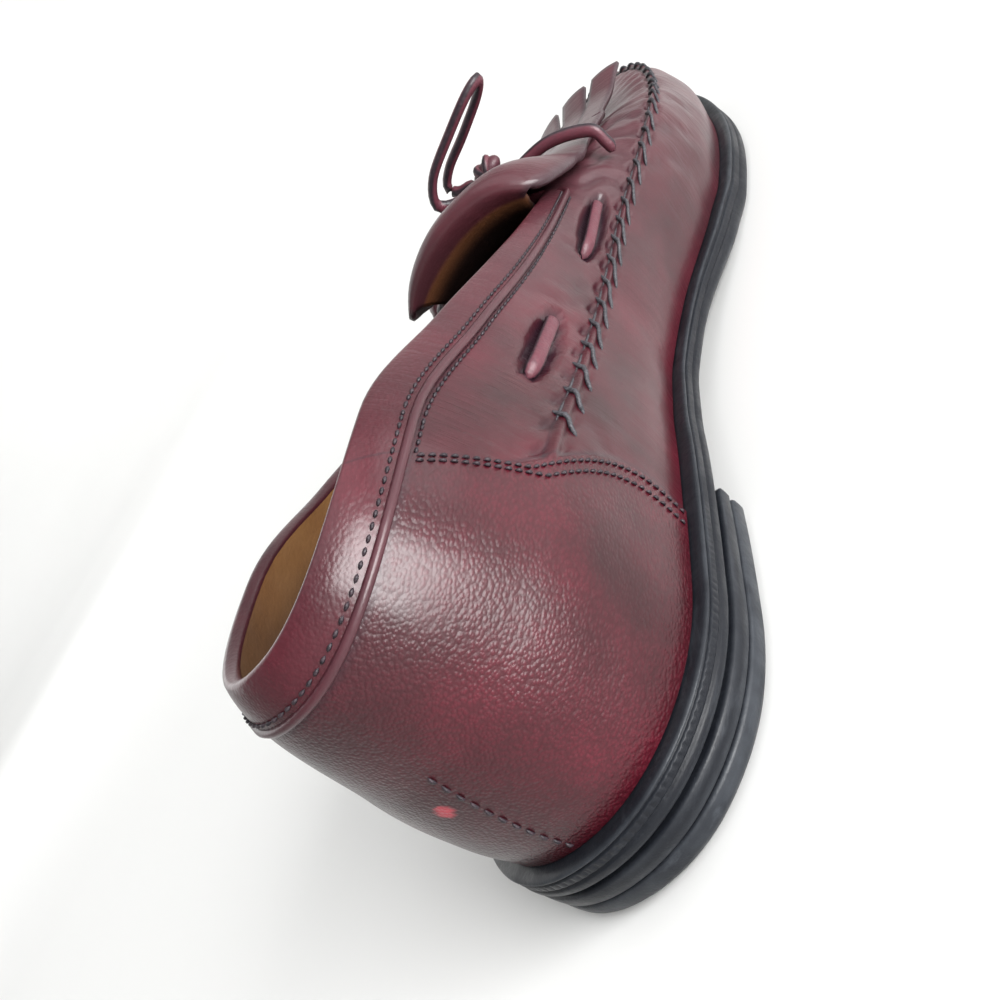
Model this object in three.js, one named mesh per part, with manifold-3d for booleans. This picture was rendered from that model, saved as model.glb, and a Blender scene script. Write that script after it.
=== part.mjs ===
// Left tassel loafer with a fringed kiltie tongue, standing empty on its sole.
// Millimetres, +Z up, toe toward +Y, inner (medial) side toward +X.

import * as THREE from 'three';
import Module from 'manifold-3d';
import { mergeVertices } from 'three/addons/utils/BufferGeometryUtils.js';

// Driving dimensions
const SOLE_LENGTH = 300;
const HEEL_WIDTH = 62;
const BALL_WIDTH = 97;
const HEEL_SEAT_HEIGHT = 16;
const FOREFOOT_HEIGHT = 8.5;
const TOE_SPRING = 10;
const BACK_HEIGHT = 56;
const INSTEP_HEIGHT = 57;
const INSTEP_LEAN = 12;
const OUTER_COLLAR_DROP = 4;
const SEAM_HEIGHT = 36;
const SOLE_EDGE = 3.5;
const WALL = 2;
const GAP = 0.3;
const WAIST_SOLE_THICKNESS = 6.2;
const GROOVE_DEPTH = 0.8;
const TOP_LIFT_THICKNESS = 5;
const HEEL_BREAST_AT = 0.237;
const HEEL_TAPER = 1.2;
const INSOLE_THICKNESS = 3;
const COUNTER_STEP = 0.7;
const COLLAR_BAND_STEP = 0.8;
const MOC_SEAM_RISE = 1.1;
const KILTIE_WIDTH = 46;
const KILTIE_THICKNESS = 1.8;
const KILTIE_ROLL_RISE = 8.5;
const FRINGE_STRIPS = 6;
const FRINGE_SLIT = 1.2;
const FRINGE_FLARE = 1.35;
const LACE_DIAMETER = 3;
const SLOT_LENGTH = 24;
const TASSEL_LENGTH = 34;
const TASSEL_DIAMETER = 13;

// Stations along the shoe, as shares of the sole length
const HEEL_CENTRE = 0.133;
const THROAT = 0.49;
const TOE_CENTRE = 0.74;
const COUNTER_SEAM = 0.2;
const PLAN_ROUNDNESS = 0.93;

const INNER = 1;
const OUTER = -1;

// Plan and bottom line. inner and outer: half width of the sole edge as shares of the width
// there. arch: share of the rise from forefoot to heel seat.
const PLAN = [
  { at: 0.133, inner: 0.5, outer: 0.5, arch: 1 },
  { at: 0.25, inner: 0.478, outer: 0.512, arch: 0.9 },
  { at: 0.333, inner: 0.43, outer: 0.505, arch: 0.72 },
  { at: 0.4, inner: 0.372, outer: 0.47, arch: 0.53 },
  { at: 0.5, inner: 0.352, outer: 0.462, arch: 0.29 },
  { at: 0.6, inner: 0.415, outer: 0.492, arch: 0.09 },
  { at: 0.65, inner: 0.455, outer: 0.512, arch: 0 },
  { at: 0.74, inner: 0.48, outer: 0.52, arch: 0 },
];

// Half sections of the upper. Outward places are shares of the half width of its bottom edge,
// heights are shares: seam of SEAM_HEIGHT, collar of the back's top, ridge of INSTEP_HEIGHT.
const SECTIONS = [
  { at: 0.133, belly: 1.065, seamOut: 1.07, seam: 1.31, collarOut: 0.78, collar: 1.06, ridge: 1.47 },
  { at: 0.25, belly: 1.09, seamOut: 1.09, seam: 1.17, collarOut: 0.87, collar: 0.96, ridge: 1.35 },
  { at: 0.333, belly: 1.13, seamOut: 1.1, seam: 1.065, collarOut: 0.92, collar: 0.875, ridge: 1.27 },
  { at: 0.4, belly: 1.13, seamOut: 1.1, seam: 1.015, collarOut: 0.86, collar: 0.81, ridge: 1.15 },
  { at: 0.5, belly: 1.08, seamOut: 1.04, seam: 1.01, collarOut: 0.62, collar: 0.728, ridge: 1 },
  { at: 0.533, belly: 1.07, seamOut: 1.02, seam: 1.01, collarOut: 0.6, collar: 0.703, ridge: 0.965 },
  { at: 0.6, belly: 1.05, seamOut: 0.98, seam: 1.01, collarOut: 0.55, collar: 0.65, ridge: 0.885 },
  { at: 0.667, belly: 1.04, seamOut: 0.94, seam: 1, collarOut: 0.53, collar: 0.597, ridge: 0.8 },
  { at: 0.74, belly: 1.035, seamOut: 0.9, seam: 0.95, collarOut: 0.52, collar: 0.54, ridge: 0.715 },
];

// Centre lines over the back and over the toe. out: share of the reach from the heel or toe
// centre to the bottom edge; up: height above the bottom edge as a share of BACK_HEIGHT.
const BACK_LINE = [
  { out: 1, up: 0 },
  { out: 1.055, up: 0.18 },
  { out: 1.06, up: 0.46 },
  { out: 0.97, up: 1 },
  { out: 0.25, up: 1.3 },
];
const TOE_LINE = [
  { out: 1, up: 0 },
  { out: 1.015, up: 0.13 },
  { out: 0.84, up: 0.27 },
  { out: 0.44, up: 0.35 },
  { out: 0, up: 0.41 },
];

// Rows of a half section
const ROW_BELLY = 1;
const ROW_SEAM = 2;
const ROW_COLLAR = 3;
const ROW_RIDGE = 4;
const BAND_START = 2.74;
const STEP_SPAN = 0.03;

const clamp = (value, low, high) => Math.min(high, Math.max(low, value));
const mix = (a, b, t) => a + (b - a) * t;
const smooth = (low, high, value) => {
  const t = clamp((value - low) / (high - low), 0, 1);
  return t * t * (3 - 2 * t);
};

// A smooth curve through one column of a table. It ends level, or at its own slope where
// tailSlope is given.
function column(table, name, at, tailSlope = 0) {
  const last = table.length - 1;
  let i = 0;
  while (i < last - 1 && at > table[i + 1].at) i += 1;
  const span = table[i + 1].at - table[i].at;
  const t = clamp((at - table[i].at) / span, 0, 1);
  const slope = (k) => {
    if (k === 0) return 0;
    if (k === last) return tailSlope;
    return (table[k + 1][name] - table[k - 1][name]) / (table[k + 1].at - table[k - 1].at);
  };
  const t2 = t * t;
  const t3 = t2 * t;
  return table[i][name] * (2 * t3 - 3 * t2 + 1) + table[i + 1][name] * (3 * t2 - 2 * t3)
    + slope(i) * span * (t3 - 2 * t2 + t) + slope(i + 1) * span * (t3 - t2);
}

// A smooth value through control values, the first and last spans ending on them. beyond is
// the value one step past the last, where the curve goes on over the centre line.
function through(values, at, beyond = null) {
  const last = values.length - 1;
  const i = clamp(Math.floor(at), 0, last - 1);
  const t = at - i;
  const before = i > 0 ? values[i - 1] : 2 * values[0] - values[1];
  const past = beyond === null ? 2 * values[last] - values[last - 1] : beyond;
  const after = i < last - 1 ? values[i + 2] : past;
  const a = 2 * values[i];
  const b = values[i + 1] - before;
  const c = 2 * before - 5 * values[i] + 4 * values[i + 1] - after;
  const d = 3 * values[i] - before - 3 * values[i + 1] + after;
  return 0.5 * (a + b * t + c * t * t + d * t * t * t);
}

const ridgeTail = (() => {
  const [before, end] = SECTIONS.slice(-2);
  return (end.ridge - before.ridge) / (end.at - before.at);
})();
const widthAt = (at) => mix(HEEL_WIDTH, BALL_WIDTH, smooth(0.3, 0.6, at));
const sideName = (side) => (side === INNER ? 'inner' : 'outer');
const edgeHalf = (side, at) => column(PLAN, sideName(side), at) * widthAt(at);
// Height of the upper's bottom edge at a place along the shoe: heel seat, arch and toe spring
const bottomHeight = (y) => {
  const at = y / SOLE_LENGTH;
  const toe = Math.max(0, (at - TOE_CENTRE) / (1 - TOE_CENTRE));
  const arch = Math.max(0, column(PLAN, 'arch', clamp(at, HEEL_CENTRE, TOE_CENTRE)));
  return mix(FOREFOOT_HEIGHT, HEEL_SEAT_HEIGHT, arch) + TOE_SPRING * toe * toe;
};

// A place along the shoe: station 0 to 1 turns round the heel, 1 to 2 runs along the side,
// 2 to 3 turns round the toe.
function placeOf(station) {
  if (station < 1) return { at: HEEL_CENTRE, turn: (1 - station) * Math.PI / 2, end: 'heel' };
  if (station <= 2) return { at: mix(HEEL_CENTRE, TOE_CENTRE, station - 1), turn: 0, end: 'side' };
  return { at: TOE_CENTRE, turn: (station - 2) * Math.PI / 2, end: 'toe' };
}
const stationAt = (at) => 1 + (at - HEEL_CENTRE) / (TOE_CENTRE - HEEL_CENTRE);
const roundPower = (value) => Math.max(value, 0) ** PLAN_ROUNDNESS;

// Point of the sole's plan, moved in (negative) or out from the sole edge, with the height of
// the upper's bottom edge there
function planPoint(side, station, offset) {
  const place = placeOf(station);
  const across = roundPower(Math.cos(place.turn));
  const along = roundPower(Math.sin(place.turn));
  const half = edgeHalf(side, place.at) + offset;
  const x = side * half * across;
  let y = place.at * SOLE_LENGTH;
  if (place.end === 'heel') y -= along * (HEEL_CENTRE * SOLE_LENGTH + offset);
  if (place.end === 'toe') y += along * ((1 - TOE_CENTRE) * SOLE_LENGTH + offset);
  return new THREE.Vector3(x, y, bottomHeight(y));
}

// Control rows of one half section as columns of outward, along and height values
function controls(side, station) {
  const place = placeOf(station);
  const bottom = bottomHeight(place.at * SOLE_LENGTH);
  const half = edgeHalf(side, place.at) - SOLE_EDGE;
  const get = (name) => column(SECTIONS, name, place.at);
  const seamUp = get('seam') * SEAM_HEIGHT;
  const backTop = HEEL_SEAT_HEIGHT + BACK_HEIGHT;
  const out = [half, half * get('belly'), half * get('seamOut'), half * get('collarOut'), 0];
  const ridge = column(SECTIONS, 'ridge', place.at, ridgeTail) * INSTEP_HEIGHT;
  const drop = side === OUTER ? OUTER_COLLAR_DROP * (1 - smooth(0.3, 0.46, place.at)) : 0;
  const up = [bottom, mix(bottom, seamUp, 0.45), seamUp, get('collar') * backTop - drop, ridge];
  if (place.end === 'side') {
    return { x: out, y: out.map(() => place.at * SOLE_LENGTH), z: up, beyond: up[ROW_COLLAR] };
  }
  const toe = place.end === 'toe';
  const line = toe ? TOE_LINE : BACK_LINE;
  const reach = (toe ? 1 - TOE_CENTRE : HEEL_CENTRE) * SOLE_LENGTH - SOLE_EDGE;
  const across = roundPower(Math.cos(place.turn));
  const along = roundPower(Math.sin(place.turn));
  const share = Math.sin(place.turn) ** 2;
  const rise = toe ? TOE_SPRING : 0;
  const sign = toe ? 1 : -1;
  const y = line.map((row) => place.at * SOLE_LENGTH + sign * along * reach * row.out);
  const z = line.map((row, k) => {
    const end = k === ROW_RIDGE && toe ? up[k] : bottom + rise + row.up * BACK_HEIGHT;
    return k === 0 ? bottomHeight(y[0]) : mix(up[k], end, share);
  });
  const fall = toe ? ridgeTail * INSTEP_HEIGHT / SOLE_LENGTH : 0;
  const beyond = z[ROW_COLLAR] + 2 * fall * (y[ROW_RIDGE] - y[ROW_COLLAR]);
  return { x: out.map((value) => value * across), y, z, beyond };
}

// The counter seam leans back as it rises: stations of the upper's mesh lean with it
const COUNTER_LEAN = 0.33;
const COUNTER_CURVE = 3.5;
function leaned(station, row) {
  const seam = stationAt(COUNTER_SEAM);
  const near = smooth(0, seam, station) * (1 - smooth(seam, 1.5, station));
  return station - COUNTER_LEAN * near * (clamp(row, 0, ROW_COLLAR) / ROW_COLLAR) ** COUNTER_CURVE;
}

// Outer face of the last: row 0 is the bottom edge, 1 the belly, 2 the moccasin seam,
// 3 the collar line and 4 the ridge of the vamp
function lastPoint(side, station, row) {
  const rows = controls(side, station);
  const x = side * Math.max(0, through(rows.x, row));
  return new THREE.Vector3(x, through(rows.y, row), through(rows.z, row, rows.beyond));
}

function lastNormal(side, station, row) {
  const d = 0.004;
  const s0 = clamp(station, d, 3 - d);
  const r0 = clamp(row, d, ROW_RIDGE - d);
  const alongStep = lastPoint(side, s0 + d, r0).sub(lastPoint(side, s0 - d, r0));
  const upStep = lastPoint(side, s0, r0 + d).sub(lastPoint(side, s0, r0 - d));
  const normal = alongStep.cross(upStep).multiplyScalar(side);
  if (row > ROW_RIDGE - 0.02 || normal.length() < 1e-9) normal.x = 0;
  if (station > 3 - 0.02 || station < 0.02) normal.x = 0;
  if (row > ROW_RIDGE - 0.02 && station >= 2) return new THREE.Vector3(0, 0.3, 0.954);
  normal.normalize();
  normal.z *= smooth(0, 0.5, row);
  return normal.normalize();
}

// Height of steps and ridges over the last: counter panel, collar band and moccasin seam
function relief(station, row) {
  const at = placeOf(station).at;
  const behindSeam = station < stationAt(COUNTER_SEAM);
  const counter = behindSeam ? COUNTER_STEP : 0;
  const band = station < stationAt(THROAT) && row > BAND_START ? COLLAR_BAND_STEP : 0;
  const ridge = !behindSeam && at > COUNTER_SEAM && Math.abs(row - ROW_SEAM) < 0.01
    ? MOC_SEAM_RISE : 0;
  return Math.max(counter, band) + ridge;
}

// Outer skin of the upper, with its steps. On the centre line both sides give one point.
function skin(side, station, row, lift = 0) {
  const centred = station < 1e-6 || station > 3 - 1e-6 || row > ROW_RIDGE - 1e-6;
  const sides = centred ? [INNER, OUTER] : [side];
  const points = sides.map((which) => lastPoint(which, station, row)
    .addScaledVector(lastNormal(which, station, row), lift));
  const point = points[0];
  if (centred) point.add(points[1]).multiplyScalar(0.5).setX(0);
  if (row < 1e-6) point.setZ(bottomHeight(point.y));
  return point;
}

// Station and row of the upper's outer face over a plan place, by halving
function findRow(side, x, y) {
  const at = y / SOLE_LENGTH;
  const toe = at > TOE_CENTRE;
  const base = toe ? 2 : stationAt(at);
  const rows = controls(side, base);
  const toeRows = controls(side, 3);
  let low = ROW_SEAM - 0.4;
  let high = ROW_RIDGE;
  for (let k = 0; k < 40; k += 1) {
    const mid = (low + high) / 2;
    const half = Math.max(through(rows.x, mid), 1e-6);
    const reach = toe ? Math.max(through(toeRows.y, mid) - TOE_CENTRE * SOLE_LENGTH, 1e-6) : 1;
    const power = 2 / PLAN_ROUNDNESS;
    const inside = toe
      ? (Math.abs(x) / half) ** power + ((y - TOE_CENTRE * SOLE_LENGTH) / reach) ** power
      : Math.abs(x) / half;
    if (inside < 1) low = mid;
    else high = mid;
  }
  const row = (low + high) / 2;
  if (!toe) return { station: base, row };
  const half = Math.max(through(rows.x, row), 1e-6);
  const reach = Math.max(through(toeRows.y, row) - TOE_CENTRE * SOLE_LENGTH, 1e-6);
  const power = 1 / PLAN_ROUNDNESS;
  const across = (Math.abs(x) / half) ** power;
  const along = ((y - TOE_CENTRE * SOLE_LENGTH) / reach) ** power;
  return { station: 2 + Math.atan2(along, across) / (Math.PI / 2), row };
}

// Point on the vamp over (x, y), lifted along its normal
function onVamp(x, y, lift) {
  const side = x < 0 ? OUTER : INNER;
  const found = findRow(side, x, y);
  return skin(side, found.station, found.row, lift);
}

// Mesh helpers
function solidFrom(points, faces) {
  const geometry = new THREE.BufferGeometry();
  geometry.setAttribute('position', new THREE.Float32BufferAttribute(points.flatMap((p) => [p.x, p.y, p.z]), 3));
  geometry.setIndex(faces.flat());
  const merged = mergeVertices(geometry, 1e-4);
  const index = merged.getIndex().array;
  const keep = [];
  for (let k = 0; k < index.length; k += 3) {
    const [a, b, c] = [index[k], index[k + 1], index[k + 2]];
    if (a !== b && b !== c && c !== a) keep.push(a, b, c);
  }
  merged.setIndex(keep);
  return merged;
}

function volumeOf(geometry) {
  const p = geometry.getAttribute('position');
  const index = geometry.getIndex().array;
  const [a, b, c] = [new THREE.Vector3(), new THREE.Vector3(), new THREE.Vector3()];
  let sum = 0;
  for (let k = 0; k < index.length; k += 3) {
    a.fromBufferAttribute(p, index[k]);
    b.fromBufferAttribute(p, index[k + 1]);
    c.fromBufferAttribute(p, index[k + 2]);
    sum += a.dot(b.cross(c)) / 6;
  }
  return sum;
}

function facingOut(geometry) {
  if (volumeOf(geometry) > 0) return geometry;
  const index = geometry.getIndex().array;
  for (let k = 0; k < index.length; k += 3) [index[k], index[k + 1]] = [index[k + 1], index[k]];
  return geometry;
}

// Stack of closed rings of equal count, the first and last closed by strips between the
// points that face each other across the ring
function ringStack(rings) {
  const count = rings[0].length;
  const points = rings.flat();
  const faces = [];
  for (let r = 0; r < rings.length - 1; r += 1) {
    for (let k = 0; k < count; k += 1) {
      const a = r * count + k;
      const b = r * count + (k + 1) % count;
      faces.push([a, b, b + count], [a, b + count, a + count]);
    }
  }
  const last = (rings.length - 1) * count;
  for (let k = 0; k < count / 2 - 1; k += 1) {
    const j = count - 1 - k;
    faces.push([k, j, j - 1], [k, j - 1, k + 1]);
    faces.push([last + k, last + j - 1, last + j], [last + k, last + k + 1, last + j - 1]);
  }
  return facingOut(solidFrom(points, faces));
}

// Closed sheet between two grids of points with the same layout
function sheetSolid(upper, lower) {
  const rows = upper.length;
  const columns = upper[0].length;
  const points = [...upper.flat(), ...lower.flat()];
  const shift = rows * columns;
  const faces = [];
  const id = (i, j) => i * columns + j;
  for (let i = 0; i < rows - 1; i += 1) {
    for (let j = 0; j < columns - 1; j += 1) {
      const [a, b, c, d] = [id(i, j), id(i, j + 1), id(i + 1, j + 1), id(i + 1, j)];
      faces.push([a, b, c], [a, c, d], [a + shift, c + shift, b + shift], [a + shift, d + shift, c + shift]);
    }
  }
  const rim = [];
  for (let j = 0; j < columns - 1; j += 1) rim.push(id(0, j));
  for (let i = 0; i < rows - 1; i += 1) rim.push(id(i, columns - 1));
  for (let j = columns - 1; j > 0; j -= 1) rim.push(id(rows - 1, j));
  for (let i = rows - 1; i > 0; i -= 1) rim.push(id(i, 0));
  rim.forEach((a, k) => {
    const b = rim[(k + 1) % rim.length];
    faces.push([a, b + shift, b], [a, a + shift, b + shift]);
  });
  return facingOut(solidFrom(points, faces));
}

const wasm = await Module();
wasm.setup();

function toManifold(geometry) {
  const p = geometry.getAttribute('position').array;
  return new wasm.Manifold(new wasm.Mesh({
    numProp: 3,
    vertProperties: new Float32Array(p),
    triVerts: new Uint32Array(geometry.getIndex().array),
  }));
}

function fromManifold(manifold) {
  const mesh = manifold.getMesh();
  const geometry = new THREE.BufferGeometry();
  geometry.setAttribute('position', new THREE.BufferAttribute(new Float32Array(mesh.vertProperties), 3));
  geometry.setIndex([...mesh.triVerts]);
  return geometry;
}

const joined = (pieces) => fromManifold(pieces.map(toManifold).reduce((sum, next) => sum.add(next)));

// Materials
const finish = (color, roughness) => new THREE.MeshStandardMaterial({ color, roughness, metalness: 0 });
const burgundy = finish('#4a1420', 0.3);
const darkBurgundy = finish('#3a1019', 0.35);
const blackSole = finish('#15171b', 0.45);
const blackRubber = finish('#1b1d20', 0.6);
const tan = finish('#a9713c', 0.7);
const laceLeather = finish('#2b1017', 0.5);
const SOLE_NAMES = ['outsole', 'heel_base', 'top_lift'];

// The instep of a left foot's last leans toward the inner side
function leanInstep(geometry) {
  const p = geometry.getAttribute('position');
  for (let k = 0; k < p.count; k += 1) {
    const at = p.getY(k) / SOLE_LENGTH;
    const along = smooth(0.2, 0.55, at) * (1 - smooth(0.64, 0.97, at));
    const up = Math.max(0, (p.getZ(k) - FOREFOOT_HEIGHT) / (INSTEP_HEIGHT - FOREFOOT_HEIGHT));
    p.setX(k, p.getX(k) + INSTEP_LEAN * along * up);
  }
  return geometry;
}

const loafer = new THREE.Group();
function add(name, geometry, material) {
  if (!SOLE_NAMES.includes(name)) leanInstep(geometry);
  const mesh = new THREE.Mesh(geometry, material);
  mesh.name = name;
  loafer.add(mesh);
}

// Stations shared by the sole, the insole and the upper
const turnSteps = 9;
const heelStations = Array.from({ length: turnSteps }, (_, k) => k / turnSteps);
const seamStation = stationAt(COUNTER_SEAM);
const throatStation = stationAt(THROAT);
const seamHalf = 0.0025;
const spread = (from, to, count) => Array.from({ length: count }, (_, k) => mix(from, to, k / count));
const sideStations = [
  ...spread(1, seamStation - seamHalf, 3),
  seamStation - seamHalf,
  seamStation + seamHalf,
  ...spread(seamStation + seamHalf, throatStation - seamHalf, 6).slice(1),
  throatStation - seamHalf,
  throatStation + seamHalf,
  ...spread(throatStation + seamHalf, 2, 6).slice(1),
];
const toeStations = Array.from({ length: turnSteps + 1 }, (_, k) => 2 + k / turnSteps);
const stations = [...heelStations, ...sideStations, ...toeStations];

// Ring round the whole plan: up the inner side, round the toe and back down the outer side
function planRing(list, offset, height) {
  const inner = list.map((s) => planPoint(INNER, s, offset));
  const outer = list.map((s) => planPoint(OUTER, s, offset)).reverse();
  return [...inner, ...outer].map((p) => new THREE.Vector3(p.x, p.y, height(p)));
}

// Sole
const soleThickness = (y) => {
  const full = FOREFOOT_HEIGHT - GAP;
  return mix(WAIST_SOLE_THICKNESS, full, smooth(0.45, 0.62, y / SOLE_LENGTH));
};
const soleTop = (p) => p.z - GAP;
const soleBottom = (p) => p.z - GAP - soleThickness(p.y);
const soleRows = [
  { share: 0, offset: -1.3 },
  { share: 0.1, offset: -0.25 },
  { share: 0.3, offset: -0.1 },
  { share: 0.34, offset: -GROOVE_DEPTH },
  { share: 0.44, offset: -GROOVE_DEPTH },
  { share: 0.48, offset: 0 },
  { share: 0.8, offset: 0 },
  { share: 0.94, offset: -0.7 },
  { share: 1, offset: -2 },
];
const soleRings = soleRows.map((row) => planRing(stations, row.offset, (p) => mix(soleTop(p), soleBottom(p), row.share)));
add('outsole', ringStack(soleRings), blackSole);

// Heel block and top lift, ending at a flat breast
const breastStation = stationAt(HEEL_BREAST_AT);
const heelList = [...heelStations, ...spread(1, breastStation, 4), breastStation];
const heelRows = [
  { share: 0, offset: -0.9 },
  { share: 0.06, offset: -0.5 },
  { share: 0.3, offset: -0.6 },
  { share: 0.34, offset: -0.6 - GROOVE_DEPTH / 2 },
  { share: 0.38, offset: -0.7 },
  { share: 1, offset: -HEEL_TAPER },
];
const baseTop = (p) => soleBottom(p) - GAP;
const baseBottom = TOP_LIFT_THICKNESS + GAP;
const heelRings = heelRows.map((row) => planRing(heelList, row.offset, (p) => mix(baseTop(p), baseBottom, row.share)));
add('heel_base', ringStack(heelRings), blackSole);

const liftRows = [
  { share: 0, offset: -HEEL_TAPER },
  { share: 0.6, offset: -HEEL_TAPER },
  { share: 0.9, offset: -HEEL_TAPER - 0.6 },
  { share: 1, offset: -HEEL_TAPER - 1.6 },
];
const liftRings = liftRows.map((row) => planRing(heelList, row.offset, () => mix(TOP_LIFT_THICKNESS, 0, row.share)));
add('top_lift', ringStack(liftRings), blackRubber);

// Insole: a plate inside the upper's wall
const insoleEdge = -SOLE_EDGE - WALL - 1.4;
const insoleRings = [0, 1].map((share) => planRing(stations, insoleEdge, (p) => p.z + share * INSOLE_THICKNESS));
add('insole', ringStack(insoleRings), tan);

// Upper: one wall, open underneath, at the collar and at the throat
const wallRows = [0, 0.4, ROW_BELLY, 1.5, 1.9, ROW_SEAM, 2.1, 2.35, BAND_START - STEP_SPAN,
  BAND_START + STEP_SPAN, ROW_COLLAR];
const vampRows = [3.35, 3.7, ROW_RIDGE];

function upperSolid() {
  const points = [];
  const faces = [];
  const layers = [];
  const rowList = [...wallRows, ...vampRows];
  const collarIndex = wallRows.length - 1;
  const vampFirst = stations.findIndex((s) => s > throatStation);
  [INNER, OUTER].forEach((side) => {
    ['out', 'in'].forEach((face) => {
      const grid = stations.map((s, i) => rowList.map((row, k) => {
        if (k > collarIndex && i < vampFirst) return -1;
        const lift = face === 'out' ? relief(s, row) : -WALL;
        points.push(skin(side, leaned(s, row), row, lift));
        return points.length - 1;
      }));
      layers.push({ side, face, grid });
    });
  });
  const quad = (a, b, c, d, flip) => {
    if (flip) faces.push([a, c, b], [a, d, c]);
    else faces.push([a, b, c], [a, c, d]);
  };
  layers.forEach(({ side, face, grid }) => {
    const flip = (side === INNER) !== (face === 'out');
    for (let i = 0; i < grid.length - 1; i += 1) {
      const top = i >= vampFirst ? rowList.length - 1 : collarIndex;
      for (let k = 0; k < top; k += 1) {
        quad(grid[i][k], grid[i][k + 1], grid[i + 1][k + 1], grid[i + 1][k], !flip);
      }
    }
  });
  [INNER, OUTER].forEach((side) => {
    const [out, inn] = ['out', 'in'].map((face) => layers.find((l) => l.side === side && l.face === face).grid);
    const strip = (list) => {
      for (let k = 0; k < list.length - 1; k += 1) {
        const [i, r] = list[k];
        const [j, q] = list[k + 1];
        quad(out[i][r], out[j][q], inn[j][q], inn[i][r], side === INNER);
      }
    };
    strip(stations.map((_, i) => [i, 0]));
    const collar = [];
    for (let i = vampFirst; i >= 0; i -= 1) collar.push([i, collarIndex]);
    strip(collar);
    const throat = [];
    for (let k = rowList.length - 1; k >= collarIndex; k -= 1) throat.push([vampFirst, k]);
    strip(throat);
  });
  return facingOut(solidFrom(points, faces));
}
add('upper', upperSolid(), burgundy);

// Kiltie tongue: starts inside the throat, rolls over it and lies forward on the vamp.
// at: share of the length, rise: mid height over the vamp in KILTIE_ROLL_RISE, inside the
// shoe below it, width: share of KILTIE_WIDTH
const TONGUE_LINE = [
  { at: 0.575, rise: -0.5, width: 0.7 },
  { at: 0.54, rise: -0.5, width: 0.71 },
  { at: 0.508, rise: -0.5, width: 0.72 },
  { at: 0.48, rise: -0.35, width: 0.72 },
  { at: 0.452, rise: 0.15, width: 0.73 },
  { at: 0.44, rise: 0.7, width: 0.86 },
  { at: 0.447, rise: 1.02, width: 0.98 },
  { at: 0.47, rise: 1.1, width: 1.02 },
  { at: 0.5, rise: 0.8, width: 1.04 },
  { at: 0.53, rise: 0.36, width: 1.04 },
  { at: 0.56, rise: 0.28, width: 1.05 },
  { at: 0.61, rise: 0.25, width: 1.08 },
  { at: 0.66, rise: 0.24, width: 1.14 },
];
const FRINGE_END = [0.768, 0.78, 0.788, 0.788, 0.778, 0.765];
const FRINGE_OVERLAP = 0.008;
const insideClear = WALL + GAP + KILTIE_THICKNESS / 2 + 0.5;
const outsideClear = GAP + KILTIE_THICKNESS / 2 + 0.6;

function tonguePoint(row, across) {
  const x = across * row.width * KILTIE_WIDTH / 2;
  const droop = mix(1, 0.8, clamp(row.rise, 0, 1));
  const lift = row.rise * KILTIE_ROLL_RISE;
  const near = clamp(lift, -insideClear, outsideClear);
  const point = onVamp(x * droop, row.at * SOLE_LENGTH, near);
  point.x += x * (1 - droop);
  point.z += lift - near;
  return point;
}

// Thick sheet round a grid of middle points
function thicken(grid, thickness) {
  const rows = grid.length;
  const columns = grid[0].length;
  const normalAt = (i, j) => {
    const a = grid[clamp(i + 1, 0, rows - 1)][j].clone().sub(grid[clamp(i - 1, 0, rows - 1)][j]);
    const b = grid[i][clamp(j + 1, 0, columns - 1)].clone().sub(grid[i][clamp(j - 1, 0, columns - 1)]);
    return a.cross(b).normalize().multiplyScalar(thickness / 2);
  };
  const upper = grid.map((line, i) => line.map((p, j) => p.clone().add(normalAt(i, j))));
  const lower = grid.map((line, i) => line.map((p, j) => p.clone().sub(normalAt(i, j))));
  return sheetSolid(upper, lower);
}

function kiltieSolid() {
  const acrossSteps = 12;
  const body = TONGUE_LINE.map((row) => Array.from({ length: acrossSteps + 1 }, (_, j) => (
    tonguePoint(row, 2 * j / acrossSteps - 1))));
  const pieces = [thicken(body, KILTIE_THICKNESS)];
  const last = TONGUE_LINE[TONGUE_LINE.length - 1];
  for (let k = 0; k < FRINGE_STRIPS; k += 1) {
    const middle = 2 * (k + 0.5) / FRINGE_STRIPS - 1;
    const half = 1 / FRINGE_STRIPS - FRINGE_SLIT / (last.width * KILTIE_WIDTH);
    const steps = 6;
    const grid = Array.from({ length: steps + 1 }, (_, i) => {
      const share = i / steps;
      const at = mix(last.at - FRINGE_OVERLAP, FRINGE_END[k % FRINGE_END.length], share);
      const flare = mix(1, FRINGE_FLARE, share * share);
      const rise = last.rise + 0.12 * share * (k % 2);
      return [-1, 0, 1].map((j) => tonguePoint(
        { at, rise, width: last.width }, middle * flare + j * half * mix(1, 1.08, share)));
    });
    pieces.push(thicken(grid, KILTIE_THICKNESS * 0.94));
  }
  return joined(pieces);
}
add('kiltie_tongue', kiltieSolid(), burgundy);

// Round lace: a tube along a smooth curve through hand-set points
function lace(points, steps, diameter = LACE_DIAMETER) {
  const sides = 8;
  const outline = new THREE.Shape(Array.from({ length: sides }, (_, k) => {
    const turn = 2 * Math.PI * k / sides;
    return new THREE.Vector2(Math.cos(turn) * diameter / 2, Math.sin(turn) * diameter / 2);
  }));
  const extrudePath = new THREE.CatmullRomCurve3(points);
  const tube = new THREE.ExtrudeGeometry(outline, { steps, bevelEnabled: false, extrudePath });
  tube.deleteAttribute('normal');
  tube.deleteAttribute('uv');
  return mergeVertices(tube, 1e-4);
}

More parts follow.
